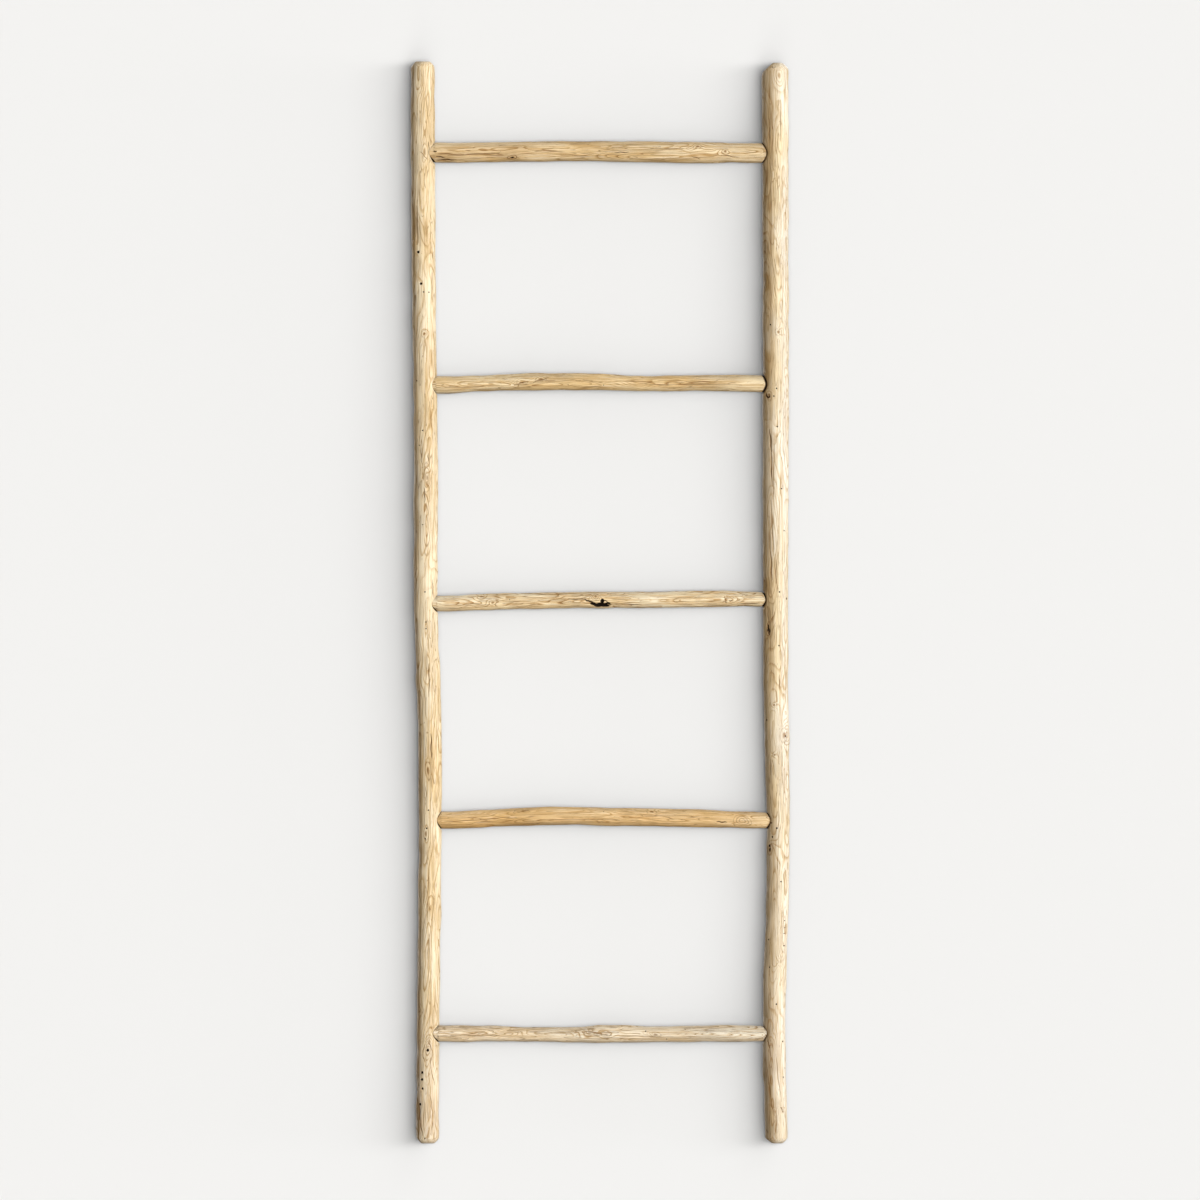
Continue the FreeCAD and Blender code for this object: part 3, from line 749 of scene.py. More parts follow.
# Beetle holes: pixel and width in millimetres
POLE_HOLES = {
    "left": (
        (418.6, 252.4, 4.4), (421.4, 284, 4.2), (424, 292.3, 2.3), (429.4, 292.6, 2.3),
        (416.7, 381, 2.7), (423, 430.8, 2.2), (419.3, 445.6, 2.2), (423, 525, 1.9),
        (425.3, 592.3, 2.2), (426.3, 622.4, 2.2), (426.3, 629, 2.2), (428.7, 810.5, 2.4),
        (427, 828.7, 2.7), (425.4, 839, 2.7), (422.5, 1072.8, 4.6), (422.3, 1079.8, 4.6),
        (422.7, 1088.8, 3.8), (420.4, 1104.5, 4.2), (424.9, 1138.7, 3), (428.2, 1050.6, 4.4),
    ),
    "right": (
        (772.5, 67.5, 2.4), (775.3, 67.2, 2.4), (770.6, 325, 2.4), (774.2, 396.4, 2.4),
        (777, 388.7, 2.4), (777.7, 427, 2.3), (782, 489, 2.3), (780, 592.3, 2.4), (784.5, 531, 2),
        (779.4, 646, 2.4), (767, 720.3, 3.1), (785.6, 736.5, 2.6), (777.2, 828.5, 3.1),
        (772.5, 837.3, 3), (769.9, 846.1, 4.6), (781.5, 882, 2.3), (784.9, 921, 2.2),
        (785.4, 928, 2.2), (784.6, 933.8, 2.2), (784.4, 946, 3), (768.9, 940, 2.4),
        (769.6, 967.7, 2.4), (776.8, 1004.5, 2.4), (783, 1041.8, 2.6), (785, 1068.3, 2.4),
        (783.7, 1077.6, 2.4),
    ),
}

# Bleached (above 0) and browned (below 0) bands: middle and half length by pixel, turn from
# the front and half width in degrees, strength. The bands along a whole pole paint light and
# shade on its sides.
POLE_BANDS = {
    "left": (
        (600, 900, -24, 14, 1), (600, 900, -58, 15, -0.7), (228, 24, -48, 22, -0.6),
        (600, 900, 50, 22, 0.45), (857, 12, -50, 20, -0.5), (1118, 16, -48, 20, -0.6),
        (765, 22, 10, 30, -0.35), (1108, 38, 0, 60, -0.22), (600, 900, 150, 30, 0.4),
        (600, 900, 225, 30, -0.4),
    ),
    "right": (
        (600, 900, -24, 18, -0.68), (600, 900, -66, 20, -0.85), (300, 600, 46, 26, 0.72),
        (990, 130, 4, 26, -0.3), (1020, 110, 60, 20, 0.35), (1110, 34, 0, 60, -0.18),
        (100, 60, 40, 40, -0.35), (100, 55, 0, 60, -0.15), (750, 55, 0, 60, 0.3),
        (1086, 14, 14, 24, 0.55), (600, 900, -46, 12, -0.25), (283, 8, -50, 20, -0.7),
        (366, 14, -42, 20, -0.6), (586, 8, -58, 20, -0.7), (600, 900, 140, 30, -0.4),
        (600, 900, 205, 35, 0.4),
    ),
}
POLE_FIGURE = (2.8, 0.06)
POLE_SEED = 11
POLE_CONTRAST = {"left": 1.0, "right": 0.88}


def tone_bands(branch, bands):
    """Weathering bands and painted light and shade bands in metres and radians, from pixels and
    degrees.
    """
    rows = []
    for middle, length, turn, width, strength in bands:
        along = branch.seen(middle, 0)[0] if branch.axis == 0 else branch.seen(0, middle)[0]
        rows.append((along, length * PIXEL, math.radians(turn), math.radians(width), strength))
    return rows


# How many knots, cracks and beetle holes a pole has on the side that the photograph doesn't
# show, and where that side lies round it
POLE_HIDDEN = (6, 7, 12)
BACK_TURN = (0.62 * math.pi, 1.38 * math.pi)


def mark_front(skin, knots, dents, cracks):
    """Take over the marks that the photograph shows on a branch's front."""
    for across, down, length, width, rise, rings, shade in knots:
        spot = skin.branch.seen(across, down)
        skin.knots.append((spot, length * MM, width * MM, rise * MM, rings, shade))
    for across, down, length, width, rise in dents:
        skin.dents.append((skin.branch.seen(across, down), length * MM, width * MM, rise * MM))
    for across, down, end_across, end_down, width, depth, shade in cracks:
        ends = skin.branch.seen(across, down), skin.branch.seen(end_across, end_down)
        skin.cracks.append((ends, width * MM, depth * MM, shade))


def mark_back(skin, knots, cracks, holes):
    """Draw marks of the same kinds on the back, and give the places of its beetle holes."""
    draw, levels = skin.draw, skin.branch.levels
    low, high = levels[0], levels[-1]
    for _ in range(knots):
        spot = draw.uniform(low, high), draw.uniform(*BACK_TURN)
        size = draw.uniform(5, 9)
        skin.knots.append((
            spot, size * draw.uniform(1.1, 1.7) * MM, size * 0.8 * MM,
            draw.uniform(0.3, 1.0) * MM, draw.uniform(1.8, 3.2), draw.uniform(0.3, 0.85),
        ))
    for _ in range(cracks):
        start, turn = draw.uniform(low, high - 60 * MM), draw.uniform(*BACK_TURN)
        end = start + draw.uniform(16, 60) * MM
        ends = (start, turn), (end, turn + draw.uniform(-0.1, 0.1))
        skin.cracks.append((ends, 0.7 * MM, draw.uniform(0.3, 0.8) * MM, draw.uniform(0.5, 0.9)))
    return [((draw.uniform(low, high), draw.uniform(*BACK_TURN)), draw.uniform(1.5, 2.7) * MM)
            for _ in range(holes)]


class Wire:
    """One output of a material's node, on which arithmetic is written as arithmetic."""

    def __init__(self, tree, socket=None):
        self.tree, self.socket = tree, socket

    def node(self, kind, settings=None, sockets=None, output=0):
        """Add a node: first its settings, then a value or a wire for each of its sockets."""
        node = self.tree.nodes.new("ShaderNode" + kind)
        for name, value in (settings or {}).items():
            setattr(node, name, value)
        for name, value in (sockets or {}).items():
            if isinstance(value, Wire):
                value.feed(node.inputs[name])
            else:
                node.inputs[name].default_value = value
        return Wire(self.tree, node.outputs[output])

    def feed(self, socket):
        """Lead this wire into another node's socket."""
        self.tree.links.new(self.socket, socket)

    def math(self, operation, *values):
        return self.node("Math", {"operation": operation}, dict(enumerate(values)))

    def __add__(self, other):
        return self.math("ADD", self, other)

    def __mul__(self, other):
        return self.math("MULTIPLY", self, other)

    def __sub__(self, other):
        return self.math("SUBTRACT", self, other)

    def __rsub__(self, other):
        return self.math("SUBTRACT", other, self)

    __radd__ = __add__
    __rmul__ = __mul__

    def clamp(self):
        return self.node("Clamp", None, {0: self})

    def between(self, low, high):
        """0 below one value and 1 above another, smoothly."""
        settings = {"interpolation_type": "SMOOTHSTEP"}
        return self.node("MapRange", settings, {0: self, 1: low, 2: high})

    def blend(self, first, second, mode="MIX"):
        """A mix of two colours, with this value as the share of the second."""
        settings = {"data_type": "RGBA", "blend_type": mode, "clamp_factor": True}
        colours = {6: first, 7: second}
        for key, colour in colours.items():
            colours[key] = colour if isinstance(colour, Wire) else (*colour, 1)
        return self.node("Mix", settings, {0: self, **colours}, 2)


def new_finish(name):
    """A fresh material: itself, its surface shader and a first wire to build on."""
    finish = bpy.data.materials.new(name)
    finish.use_nodes = True
    return finish, finish.node_tree.nodes["Principled BSDF"], Wire(finish.node_tree)


MARK_LAYERS = ("rings", "dirt_and_shade", "weather_and_side_light", "whorls")
RING_DRIFT = (0.0004, -0.0003, 0.0002)
# Browning, which also paints the shade on the sides
BROWNING_AND_SHADE = (0.56, 0.44, 0.29)
# Dark colours of dirt, and of the painted shade inside holes, sockets and joints
DIRT_AND_SHADE = (0.045, 0.022, 0.009)
PITCH_AND_SHADE = (0.010, 0.007, 0.005)


def bare_wood(name, axis, contrast, light, tan, brown, honey, grey, bleach_and_highlight, grey_top, grey_share):
    """Peeled, weathered wood: growth rings cut by the skin, long streaks, stains and checks, with
    painted highlights and painted shade from the mesh's layers.
    """
    finish, surface, start = new_finish(name)
    place = start.node("TexCoord", output="Object")
    rings, dirt_and_shade, weather_and_side_light, whorls = (
        start.node("Attribute", {"attribute_name": layer}, output="Fac") for layer in MARK_LAYERS
    )
    drifts = [rings * share for share in RING_DRIFT]
    bent = start.node("CombineXYZ", None, dict(enumerate(drifts)))
    moved = start.node("VectorMath", {"operation": "ADD"}, {0: place, 1: bent})

    def stretched(squeeze, scale, detail, rough=0.55):
        """Noise drawn out along the branch, which follows the growth rings a little."""
        scales = [1, 1, 1]
        scales[axis] = squeeze
        long = start.node("Mapping", None, {"Vector": moved, "Scale": scales})
        sockets = {"Vector": long, "Scale": scale, "Detail": detail, "Roughness": rough}
        return start.node("TexNoise", None, sockets)

    def threads(noise, level, thin, wide):
        """Fine lines where a noise crosses a level."""
        off = noise - level
        return 1 - off.math("ABSOLUTE", off).between(thin, wide)

    clouds = stretched(0.35, 18, 2)
    bands = stretched(0.10, 60, 3)
    streaks = stretched(0.030, 420, 4, 0.6)
    fibres = stretched(0.045, 1300, 3, 0.6)
    flecks = stretched(0.12, 700, 2)
    blush = stretched(0.22, 34, 2)

    count = rings + bands * 0.7 + fibres * 0.22
    turn = count.math("FRACT", count)
    late = turn.between(0.50, 0.90) * (1 - turn.between(0.91, 0.97))
    strength = (bands.between(0.32, 0.62) + 0.8 * whorls).clamp()
    lines = late * (0.22 + 0.78 * strength)
    grain = streaks.between(0.46, 0.64)
    hair = fibres.between(0.54, 0.68)
    specks = flecks.between(0.68, 0.74)
    # Pale streaks on the raised grain: partly the wood's own tone, partly a painted highlight
    pale_grain_and_highlight = 1 - streaks.between(0.30, 0.47)
    fine = threads(stretched(0.035, 240, 1), 0.5, 0.003, 0.022) * clouds.between(0.42, 0.54)
    flow = threads(stretched(0.060, 110, 2), 0.48, 0.002, 0.014) * bands.between(0.40, 0.55)
    checks = (fine + flow).clamp()

    colour = clouds.between(0.38, 0.62).blend(light, honey)
    wear = blush.between(0.35, 0.65) * 0.6 + 0.4
    if grey_top > 0:
        height = place.node("SeparateXYZ", None, {0: place}, 2)
        wear = wear * (1 - height.between(0.35 * grey_top, grey_top))
    colour = (wear * grey_share).blend(colour, grey)
    # Bleached and browned bands: stains, and painted light and shade on the sides and round the
    # socket rims
    uneven = weather_and_side_light * (0.55 + 0.9 * bands)
    colour = (uneven * 0.9).clamp().blend(colour, bleach_and_highlight)
    colour = (pale_grain_and_highlight * 0.38 * contrast).blend(colour, [1 - 0.55 * (1 - part) for part in light])
    colour = (lines * 0.85 * contrast).clamp().blend(colour, tan)
    colour = (grain * 0.60 * contrast).blend(colour, tan)
    colour = (hair * 0.22 * contrast).blend(colour, brown)
    colour = (lines * lines * (grain * 0.6 + (contrast - 0.8))).clamp().blend(colour, brown)
    colour = (checks * 0.60 * contrast).clamp().blend(colour, brown)
    colour = (specks * 0.6).blend(colour, brown)
    # Browned bands, partly stains and partly painted shade
    colour = (uneven * -1.0).clamp().blend(colour, BROWNING_AND_SHADE, "MULTIPLY")
    # Dark wood from the dirt layer: dirt, knots' hearts and cracks, and painted shade in holes,
    # sockets, mouths and joints
    soil_and_shade = (dirt_and_shade * (0.75 + 0.5 * streaks)).clamp()
    colour = (soil_and_shade.between(0.0, 0.5) * 0.85).blend(colour, brown)
    colour = (soil_and_shade.between(0.35, 0.85) * 0.95).blend(colour, DIRT_AND_SHADE)
    colour = (soil_and_shade.between(0.80, 1.0) * 0.9).blend(colour, PITCH_AND_SHADE)

    roughness = 0.52 + 0.16 * grain + 0.14 * lines + 0.2 * soil_and_shade
    height = 0.7 * (1 - lines) - 0.8 * grain + 0.3 * fibres - 0.9 * checks - 0.6 * soil_and_shade
    settings = {"Height": height, "Strength": 0.85, "Distance": 0.55 * contrast * MM}
    bump = height.node("Bump", None, settings)
    colour.feed(surface.inputs["Base Color"])
    roughness.feed(surface.inputs["Roughness"])
    bump.feed(surface.inputs["Normal"])
    surface.inputs["Specular IOR Level"].default_value = 0.10
    return finish


# The bleach colour is also the colour of the painted highlights on the poles' sides
POLE_COLOURS = {
    "left": {
        "light": (0.94, 0.79, 0.55), "tan": (0.69, 0.455, 0.205), "brown": (0.33, 0.17, 0.057),
        "honey": (0.88, 0.67, 0.38), "grey": (0.80, 0.68, 0.53), "bleach_and_highlight": (0.94, 0.785, 0.53),
    },
    "right": {
        "light": (0.94, 0.835, 0.645), "tan": (0.70, 0.50, 0.265), "brown": (0.35, 0.19, 0.073),
        "honey": (0.89, 0.72, 0.45), "grey": (0.80, 0.70, 0.56), "bleach_and_highlight": (0.94, 0.895, 0.80),
    },
}
GREY_TOP = 0.30
POLE_GREY = 0.9


def sockets(side):
    """A pole's five sockets: each one's way out, place, radius, rim, the depth inside that stays
    free of painted shade, and the width of grime and painted shade at the mouth.
    """
    holes = []
    for branch, flare, grime_and_shade in zip(RUNGS.values(), FLARES[side], GRIME_AND_SHADE[side]):
        way = 1 if side == "left" else -1
        level = branch.levels[0] if side == "left" else branch.levels[-1]
        back, rise, radius = branch.at(level)
        radius += SOCKET_PLAY - TENON_SHAVE
        place = (way, back, rise - SOCKET_DROP[side])
        holes.append((*place, radius, radius + flare, UNSHADED_DEPTH[side], grime_and_shade))
    return holes


def socket_bits(side):
    """Bits for a pole's five blind bores, and for the flare at the mouth of each."""
    bores, flares = [], []
    for (way, back, rise, radius, rim, *_), branch in zip(sockets(side), RUNGS.values()):
        end = branch.low.x if side == "left" else branch.high.x
        bottom = Vector((end - way * END_GAP, back, rise))
        out = Vector((way, 0, 0))
        bores.append((bottom, bottom + out * 2 * TENON_LENGTH, radius, radius))
        _, across, pole_radius = POLES[side].at(rise)
        lip = across + way * math.sqrt(pole_radius ** 2 - radius ** 2)
        start = Vector((lip - way * FLARE_DEPTH, back, rise))
        run = FLARE_DEPTH + pole_radius
        wide = radius + (rim - radius) * run / FLARE_DEPTH
        flares.append((start, start + out * run, radius, wide))
    return bores, flares


def nail_bits(nodes):
    """Bits for the nails of some nodes: room for each head, and a bore for each shank."""
    heads, shanks = [], []
    for node in nodes:
        tip, top, radius = nail_line(node)
        way = (top - tip).normalized()
        room, shank = radius + NAIL_PLAY, radius * NAIL_SHANK + NAIL_PLAY
        heads.append((top - way * NAIL_HEAD_HEIGHT, top + way * 10 * MM, room, room))
        shanks.append((tip - way * MM, top - way * NAIL_HEAD_HEIGHT / 2, shank, shank))
    return heads, shanks


for seed, (side, branch) in enumerate(POLES.items(), start=POLE_SEED):
    skin = Skin(branch, seed, POLE_FIGURE)
    mark_front(skin, POLE_KNOTS[side], POLE_DENTS[side], POLE_CRACKS[side])
    holes = mark_back(skin, *POLE_HIDDEN)
    holes += [(branch.seen(across, down), width * MM) for across, down, width in POLE_HOLES[side]]
    skin.mouths = [
        (way, back, rise, rim, *rest) for way, back, rise, _, rim, *rest in sockets(side)
    ]
    skin.bands = tone_bands(branch, POLE_BANDS[side])
    levels = [mouth[2] for mouth in skin.mouths]
    stations = pole_stations(branch, FOOT_ROUND, TOP_ROUND[side], levels)
    pole = branch_mesh(f"{side}_pole", skin, POLE_AROUND, stations)
    rasp(pole, POLE_SHOULDERS[side])
    heads, shanks = nail_bits([f"{side}_nail_{rung}" for rung in RUNGS])
    for bits in socket_bits(side):
        drill(pole, bits)
    drill(pole, heads + beetle_holes(skin, holes))
    drill(pole, shanks)
    paint_marks(pole, skin)
    coat(pole, bare_wood(
        f"{side}_pole_wood", 2, POLE_CONTRAST[side], grey_top=GREY_TOP, grey_share=POLE_GREY,
        **POLE_COLOURS[side],
    ))
    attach(pole, "root")
    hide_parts(f"{side}_rail")


# The five rungs. Each is a thinner peeled branch, whittled to a slightly smaller round tenon
# at both ends, which is pushed into the pole's socket as far as it goes and nailed there.
# The third one has a rotten, split knot in its lower front.

RUNG_AROUND = 92
RUNG_RINGS = 380
TENON_RINGS = 14
TENON_EASE = 5 * MM
TENON_CHAMFER = 1.5 * MM
RUNG_HIDDEN = (3, 4, 3)
RUNG_SEED = 20
ROT_SEED = 5

# The rungs' marks, bends, stains and painted light and shade, in tables like the poles'
RUNG_KNOTS = {
    1: (
        (512.7, 157.7, 7, 4, 0.4, 1.8, 0.9),
        (632, 153.5, 50, 7.5, 0, 3, 0),
        (725, 151.5, 42, 9, 0, 2.6, 0),
        (698, 147, 7, 4, 0.4, 1.6, 0.45),
        (725.6, 151.8, 6, 4, 0.4, 1.4, 0.5),
    ),
    2: (
        (522, 383, 8, 4, 0.5, 2.4, 0.4),
        (541, 379.5, 8, 4, 0.6, 2.4, 0.45),
        (532, 381.5, 28, 5, 0, 2.2, 0),
        (680, 386, 55, 4.5, 0, 2.8, 0),
    ),
    3: (
        (482, 597, 7, 4, 0.4, 1.8, 0.4),
        (493, 603, 6, 4, 0.4, 1.8, 0.45),
        (596, 597, 5, 4, 0.6, 2.6, 0.45),
        (700, 600.5, 42, 5, 0, 3.4, 0),
        (488, 601, 42, 5, 0, 3, 0),
    ),
    4: (
        (524, 811.5, 10, 4, 0.4, 1.8, 0.25),
        (652, 812, 8, 4, 0.5, 2, 0.45),
        (742.6, 821, 15, 9, 0.2, 2.4, -0.34),
        (490, 817, 60, 5, 0, 2.6, 0),
        (600, 817, 60, 5, 0, 2.2, 0),
    ),
    5: (
        (590, 1033, 9, 5, 0.4, 1.8, 0.3),
        (606, 1035, 7, 4, 0.4, 1.8, 0.3),
        (656, 1035, 8, 4, 0.4, 2, 0.45),
        (480, 1034, 45, 5, 0, 2.6, 0),
        (715, 1035, 50, 5, 0, 3, 0),
    ),
}

RUNG_DENTS = {
    1: ((440, 160, 12, 6, -1.6), (640, 162, 30, 7, -0.4)),
    2: ((600, 391, 22, 7, -0.6), (535, 392, 16, 7, 0.5)),
    3: (
        (614.2, 605.7, 5, 4, -0.9), (748, 607, 14, 5, -1.3), (748, 594, 14, 6, -0.9),
        (722, 601, 8, 9, 0.7), (575, 609, 14, 6, -0.6), (768, 592.5, 7, 6, -2.2),
        (768, 606.5, 7, 6, -2.2),
    ),
    4: ((700, 826, 20, 7, -0.5), (470, 812, 20, 7, 0.4)),
    5: (
        (583, 1027, 8, 5, -0.8), (612, 1041, 8, 5, -0.8), (472, 1026, 16, 7, -0.6),
        (598, 1026, 7, 6, 0.7),
    ),
}

RUNG_CRACKS = {
    1: (
        (433.5, 151.5, 437, 152, 1, 1, 1),
        (436.5, 156.9, 445.5, 158.5, 1, 1, 1),
        (443, 160.2, 454.5, 160.7, 1.2, 1.2, 1),
        (438.5, 154, 464, 154.8, 0.8, 0.4, 0.55),
        (436, 161.3, 447, 161, 1, 1, 0.9),
        (448, 156, 500, 153.5, 0.8, 0.5, 0.6),
        (615, 152.8, 629, 152.6, 0.6, 0.6, 0.85),
        (721.5, 155, 740, 158, 0.8, 0.4, 0.6),
        (691.5, 156.4, 701, 159.4, 0.8, 0.4, 0.6),
        (560, 156, 600, 156.5, 0.7, 0.3, 0.4),
        (640, 148, 690, 149, 0.7, 0.3, 0.35),
    ),
    2: (
        (514, 385.5, 530, 381, 0.7, 0.5, 0.6),
        (533, 383, 549, 378, 0.7, 0.5, 0.6),
        (445, 388, 500, 386, 0.7, 0.4, 0.5),
        (650, 385, 742, 385.5, 0.7, 0.4, 0.45),
    ),
    3: (
        (568, 599.3, 586, 599.6, 0.6, 0.7, 0.9),
        (585, 599.6, 591, 602.6, 1.2, 1.6, 1),
        (589, 601.4, 599, 606, 1.8, 2.2, 1),
        (602, 600, 608, 602, 0.9, 1.2, 1),
        (606, 605.8, 612, 605.2, 0.9, 1.2, 1),
        (622, 605, 642, 605, 0.7, 0.5, 0.75),
        (725, 597, 726.5, 604, 0.7, 0.6, 0.8),
        (729, 601, 733, 601, 0.7, 0.5, 0.8),
        (737, 604.3, 760, 603.6, 0.8, 0.6, 0.8),
        (445, 606, 480, 604, 0.7, 0.4, 0.45),
        (650, 597, 700, 598.5, 0.7, 0.3, 0.4),
    ),
    4: (
        (717, 822.2, 727.5, 822.7, 0.9, 0.7, 1),
        (733.8, 824.6, 735.4, 826.4, 0.8, 0.5, 0.7),
        (450, 822, 510, 817.5, 0.7, 0.4, 0.5),
        (540, 820, 620, 820.5, 0.7, 0.4, 0.45),
        (640, 815, 700, 817, 0.7, 0.3, 0.4),
    ),
    5: (
        (450, 1036, 500, 1036, 0.7, 0.4, 0.45),
        (583, 1031, 612, 1036.5, 0.8, 0.5, 0.5),
        (620, 1037, 650, 1036.5, 0.7, 0.4, 0.45),
        (690, 1031, 740, 1032, 0.7, 0.4, 0.4),
    ),
}

RUNG_HOLES = {
    1: ((512.7, 157.7, 2.6),),
    2: ((604, 385.5, 1.6),),
    3: ((510, 600, 1.6),),
    4: ((604, 812, 1.6),),
    5: ((646, 1031.5, 2.4), (667, 1039.5, 2.2), (438.3, 1037.3, 2.2)),
}

# The bleach colour is also the colour of the painted highlights on the rungs' sides
RUNG_COLOURS = {
    1: {
        "light": (0.98, 0.76, 0.45), "tan": (0.66, 0.40, 0.15), "brown": (0.30, 0.145, 0.045),
        "honey": (0.86, 0.59, 0.27), "grey": (0.70, 0.55, 0.36), "bleach_and_highlight": (1.0, 0.86, 0.60),
    },
    2: {
        "light": (1.0, 0.80, 0.48), "tan": (0.72, 0.45, 0.18), "brown": (0.32, 0.155, 0.05),
        "honey": (0.94, 0.66, 0.31), "grey": (0.76, 0.60, 0.40), "bleach_and_highlight": (1.0, 0.87, 0.61),
    },
    3: {
        "light": (1.0, 0.85, 0.57), "tan": (0.80, 0.52, 0.24), "brown": (0.36, 0.18, 0.06),
        "honey": (1.0, 0.76, 0.42), "grey": (0.86, 0.73, 0.52), "bleach_and_highlight": (1.0, 0.93, 0.72),
    },
    4: {
        "light": (0.96, 0.68, 0.35), "tan": (0.66, 0.37, 0.125), "brown": (0.30, 0.135, 0.035),
        "honey": (0.86, 0.55, 0.22), "grey": (0.66, 0.49, 0.28), "bleach_and_highlight": (1.0, 0.84, 0.56),
    },
    5: {
        "light": (1.0, 0.84, 0.60), "tan": (0.74, 0.50, 0.25), "brown": (0.32, 0.175, 0.065),
        "honey": (0.93, 0.71, 0.43), "grey": (0.88, 0.75, 0.58), "bleach_and_highlight": (1.0, 0.94, 0.77),
    },
}

# Bands along a whole rung paint light and shade on its sides
RUNG_BANDS = {
    1: (
        (510, 70, 0, 70, -0.30), (440, 14, -40, 50, -0.5), (560, 30, 20, 50, 0.25),
        (680, 90, 30, 60, 0.40), (600, 400, 180, 50, -0.3),
    ),
    2: (
        (450, 30, 0, 60, -0.2), (540, 30, 20, 40, 0.3), (735, 42, 20, 60, 0.38),
        (640, 30, -10, 40, -0.2), (600, 400, 180, 50, 0.3),
    ),
    3: (
        (600, 400, 30, 50, 0.35), (610, 12, -30, 40, -0.3), (745, 26, 10, 60, 0.28),
        (600, 400, 160, 50, -0.3),
    ),
    4: (
        (600, 400, -50, 30, -0.25), (600, 80, 30, 40, 0.2), (756, 18, 10, 60, 0.5),
        (600, 400, 170, 50, 0.2),
    ),
    5: (
        (600, 400, 20, 50, 0.35), (735, 46, 10, 60, 0.55), (598, 22, 0, 50, 0.4),
        (500, 30, -10, 60, -0.2), (600, 400, 170, 50, -0.2),
    ),
}
RUNG_FIGURE = (3.4, 0.22)
RUNG_CONTRAST = {1: 1.10, 2: 1.10, 3: 1.20, 4: 0.95, 5: 1.15}
RUNG_GREY = {1: 0.10, 2: 0.08, 3: 0.10, 4: 0.05, 5: 0.22}

# Grime and painted shade on the rungs where they go into the poles: how far out of the pole
# it comes, and how much further at the top and the bottom, in millimetres
ENTRY_GRIME_AND_SHADE = {
    "left": (
        (-1.6, 0.2, 2.2), (-2.2, 0.2, 1.6), (-2.2, 0.4, 2.8), (-1.3, 1.4, 1.8), (-1.2, 0.8, 1.4),
    ),
    "right": (
        (-0.8, 1.6, 1.8), (0.2, 1.8, 1.8), (-0.4, 2.2, 2.2), (-1.0, 1.6, 2.0), (-1.6, 1.4, 1.0),
    ),
}

# The rotten hollow: lobes round the split, by pixel, with half length and half height in
# millimetres and how deep they go
HOLLOW_LOBES = (
    (601.4, 605.6, 13, 4.9, 10),
    (593.5, 604.2, 5.5, 2.3, 6),
    (602.6, 601.6, 3.4, 4.4, 7),
    (608, 603.6, 5.2, 1.9, 6),
)


def rung_stations(branch):
    """Rows of (place along, inset from the skin) from the left tenon's end to the right one's."""
    ends, low, high = [], branch.low.x, branch.high.x
    for end, way, level in ((low, 1, branch.levels[0]), (high, -1, branch.levels[-1])):
        tenon = branch.at(level)[2] - TENON_SHAVE
        steps = [(end, TENON_SHAVE + tenon * (1 - share) + TENON_CHAMFER * share)
                 for share in np.linspace(0.05, 1, FLAT_STEPS)]
        steps += [(end + way * place, TENON_SHAVE)
                  for place in np.linspace(TENON_CHAMFER, TENON_LENGTH - TENON_EASE, TENON_RINGS)]
        for share in np.linspace(0, 1, TENON_RINGS // 2)[1:]:
            drop = TENON_SHAVE * (1 + math.cos(math.pi * share)) / 2
            steps.append((end + way * (TENON_LENGTH - TENON_EASE * (1 - share)), drop))
        ends.append(steps)
    low, high = ends[0][-1][0], ends[1][-1][0]
    middle = [(level, 0) for level in np.linspace(low, high, RUNG_RINGS)[1:-1]]
    return np.array(ends[0] + middle + ends[1][::-1])


def rot_out(rung, branch):
    """Scoop the rotten lobes out of a rung round its split."""
    draw = np.random.RandomState(ROT_SEED)
    for across, down, length, height, depth in HOLLOW_LOBES:
        shape = bmesh.new()
        bmesh.ops.create_icosphere(shape, subdivisions=4, radius=1)
        rough = ripples(draw, 12, (1, 4), (0.7, 1.6))
        corners = np.array([corner.co for corner in shape.verts])
        swell = 1 + 0.13 * rough(corners[:, 0], np.arctan2(corners[:, 2], corners[:, 1]))
        for corner, factor in zip(shape.verts, swell):
            corner.co *= factor
        along, angle = branch.seen(across, down)
        middle = branch.place(along, angle, branch.at(along)[2] + MM)[0]
        sizes = Matrix.Diagonal((length * MM, depth * MM + MM, height * MM, 1))
        turn = Matrix.Rotation(-angle, 4, "X")
        fit = Matrix.Translation(middle) @ turn @ sizes
        bmesh.ops.transform(shape, verts=shape.verts, matrix=fit)
        cut(rung, shape)


for rung, branch in RUNGS.items():
    skin = Skin(branch, RUNG_SEED + rung, RUNG_FIGURE)
    mark_front(skin, RUNG_KNOTS[rung], RUNG_DENTS[rung], RUNG_CRACKS[rung])
    holes = mark_back(skin, *RUNG_HIDDEN)
    holes += [(branch.seen(across, down), width * MM) for across, down, width in RUNG_HOLES[rung]]
    for side, pole in POLES.items():
        skin.entries.append((pole, *(reach * MM for reach in ENTRY_GRIME_AND_SHADE[side][rung - 1])))
    skin.bands = tone_bands(branch, RUNG_BANDS[rung])
    piece = branch_mesh(f"branch_rung_{rung}", skin, RUNG_AROUND, rung_stations(branch))
    _, shanks = nail_bits([f"{side}_nail_{rung}" for side in POLES])
    drill(piece, beetle_holes(skin, holes))
    drill(piece, shanks)
    if rung == 3:
        rot_out(piece, branch)
    paint_marks(piece, skin)
    coat(piece, bare_wood(
        f"rung_{rung}_wood", 0, RUNG_CONTRAST[rung], grey_top=0, grey_share=RUNG_GREY[rung],
        **RUNG_COLOURS[rung],
    ))
    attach(piece, "root")
    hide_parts(f"rung_{rung}")


# The nails. Ten plain lost-head steel nails, one through each pole into each tenon, punched
# just under the skin, with a brown film of rust.

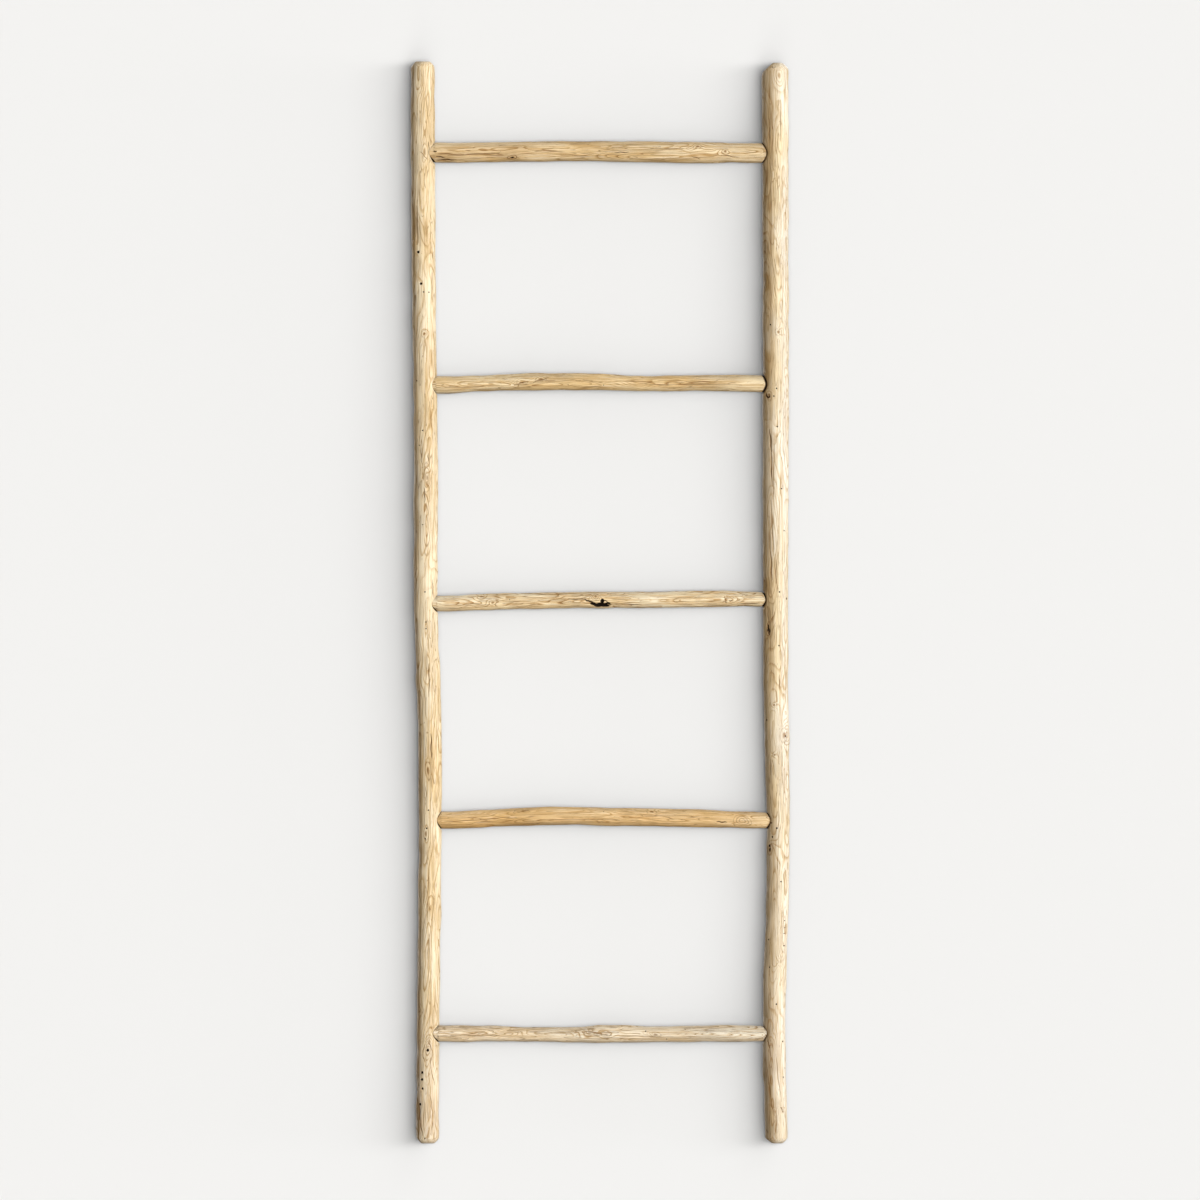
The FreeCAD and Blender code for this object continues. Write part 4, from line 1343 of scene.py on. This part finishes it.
def rusty_steel():
    finish, surface, start = new_finish("nail_steel")
    place = start.node("TexCoord", output="Object")
    spots = start.node("TexNoise", None, {"Vector": place, "Scale": 900, "Detail": 4})
    rust = spots.between(0.38, 0.62)
    colour = rust.blend((0.075, 0.065, 0.06), (0.16, 0.07, 0.03))
    bump = spots.node("Bump", None, {"Height": spots, "Strength": 0.4, "Distance": 0.1 * MM})
    colour.feed(surface.inputs["Base Color"])
    (0.35 + 0.4 * rust).feed(surface.inputs["Roughness"])
    (0.85 - 0.5 * rust).feed(surface.inputs["Metallic"])
    bump.feed(surface.inputs["Normal"])
    return finish


steel = rusty_steel()
for side in POLES:
    for rung in RUNGS:
        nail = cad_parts[f"{side}_nail_{rung}"]
        nail.data.materials.clear()
        nail.data.materials.append(steel)


# The studio: a pale floor, a pale wall that the ladder stands against, and soft lamps, the
# main one a long row level with the ladder at the right.

ROOM = 12
WALL_GAP = 0.5 * MM
PALE = (0.896, 0.888, 0.871)
WALL_SHARE = 0.925
AMBIENT = 0.05
PHOTO_SIDE = 1200
PHOTO_MIDDLE = (600.4, 600.35)
CAMERA_REACH = 3
SUNS = (
    # strength, degrees to the right of the front, degrees up, softness in degrees
    (0.270, 0, 0, 20),
    (0.185, 14, 0, 24),
    (0.175, 30, 0, 24),
    (0.120, 46, 2, 24),
    (0.160, 60, 6, 22),
    (0.120, 70, 8, 18),
    (0.230, 86, 0, 12),
    (0.100, 40, 22, 30),
    (0.090, 55, 55, 30),
    (0.110, 20, -30, 30),
    (0.080, 0, -62, 30),
    (0.550, 160, 18, 20),
    (0.550, 212, 12, 20),
    (0.250, 180, 45, 30),
)


def pale_paint(name):
    """Matt pale paint that shows on its front only, so that no view is blocked from behind."""
    finish, surface, start = new_finish(name)
    surface.inputs["Base Color"].default_value = (*(WALL_SHARE * part for part in PALE), 1)
    surface.inputs["Roughness"].default_value = 1
    surface.inputs["Specular IOR Level"].default_value = 0
    back = start.node("NewGeometry", output="Backfacing")
    clear = start.node("BsdfTransparent")
    paint = Wire(finish.node_tree, surface.outputs[0])
    shown = start.node("MixShader", None, {0: back, 1: paint, 2: clear})
    shown.feed(finish.node_tree.nodes["Material Output"].inputs[0])
    return finish


def add_sheet(name, place, turn):
    """A wide flat sheet that catches shadows and neither blocks nor throws back any light."""
    shape = bmesh.new()
    bmesh.ops.create_grid(shape, x_segments=1, y_segments=1, size=ROOM)
    bmesh.ops.transform(shape, verts=shape.verts, matrix=Matrix.Translation(place) @ turn)
    sheet = new_piece(name, shape)
    sheet.data.materials.append(pale_paint(name + "_paint"))
    sheet.visible_shadow = sheet.visible_diffuse = False
    sheet.visible_glossy = sheet.visible_transmission = False


def add_sun(name, strength, right, up, softness):
    """A distant soft lamp, aimed by how far it stands to the right of the front and how high."""
    lamp = bpy.data.lights.new(name, "SUN")
    lamp.energy = strength * math.pi
    lamp.angle = math.radians(softness)
    sun = bpy.data.objects.new(name, lamp)
    right, up = math.radians(right), math.radians(up)
    way = Vector((math.sin(right) * math.cos(up), -math.cos(right) * math.cos(up), math.sin(up)))
    sun.rotation_euler = way.to_track_quat("Z", "Y").to_euler()
    bpy.context.scene.collection.objects.link(sun)


low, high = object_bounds()
add_sheet("floor", Vector((0, 0, 0)), Matrix.Identity(4))
add_sheet("wall", Vector((0, high.y + WALL_GAP, 0)), Matrix.Rotation(math.pi / 2, 4, "X"))
for number, (strength, right, up, softness) in enumerate(SUNS):
    add_sun(f"lamp_{number}", strength, right, up, softness)

world = bpy.data.worlds.new("studio")
world.use_nodes = True
bpy.context.scene.world = world
air = Wire(world.node_tree)
seen = air.node("LightPath", output="Is Camera Ray")
sky = world.node_tree.nodes["Background"]
sky.inputs["Color"].default_value = (*PALE, 1)
(AMBIENT + (1 - AMBIENT) * seen).feed(sky.inputs["Strength"])

camera_data = bpy.data.cameras.new("camera")
camera_data.type = "ORTHO"
camera_data.ortho_scale = PHOTO_SIDE * PIXEL
camera = bpy.data.objects.new("camera", camera_data)
camera.location = (
    (PHOTO_MIDDLE[0] - FOOT_PIXEL[0]) * PIXEL, -CAMERA_REACH,
    (FOOT_PIXEL[1] - PHOTO_MIDDLE[1]) * PIXEL,
)
camera.rotation_euler = (math.pi / 2, 0, 0)
bpy.context.scene.collection.objects.link(camera)
bpy.context.scene.camera = camera
bpy.context.scene.view_settings.view_transform = "Standard"

# The pale wall would light the wood from behind and wash out the poles' dark rims
bpy.context.scene.cycles.diffuse_bounces = 0
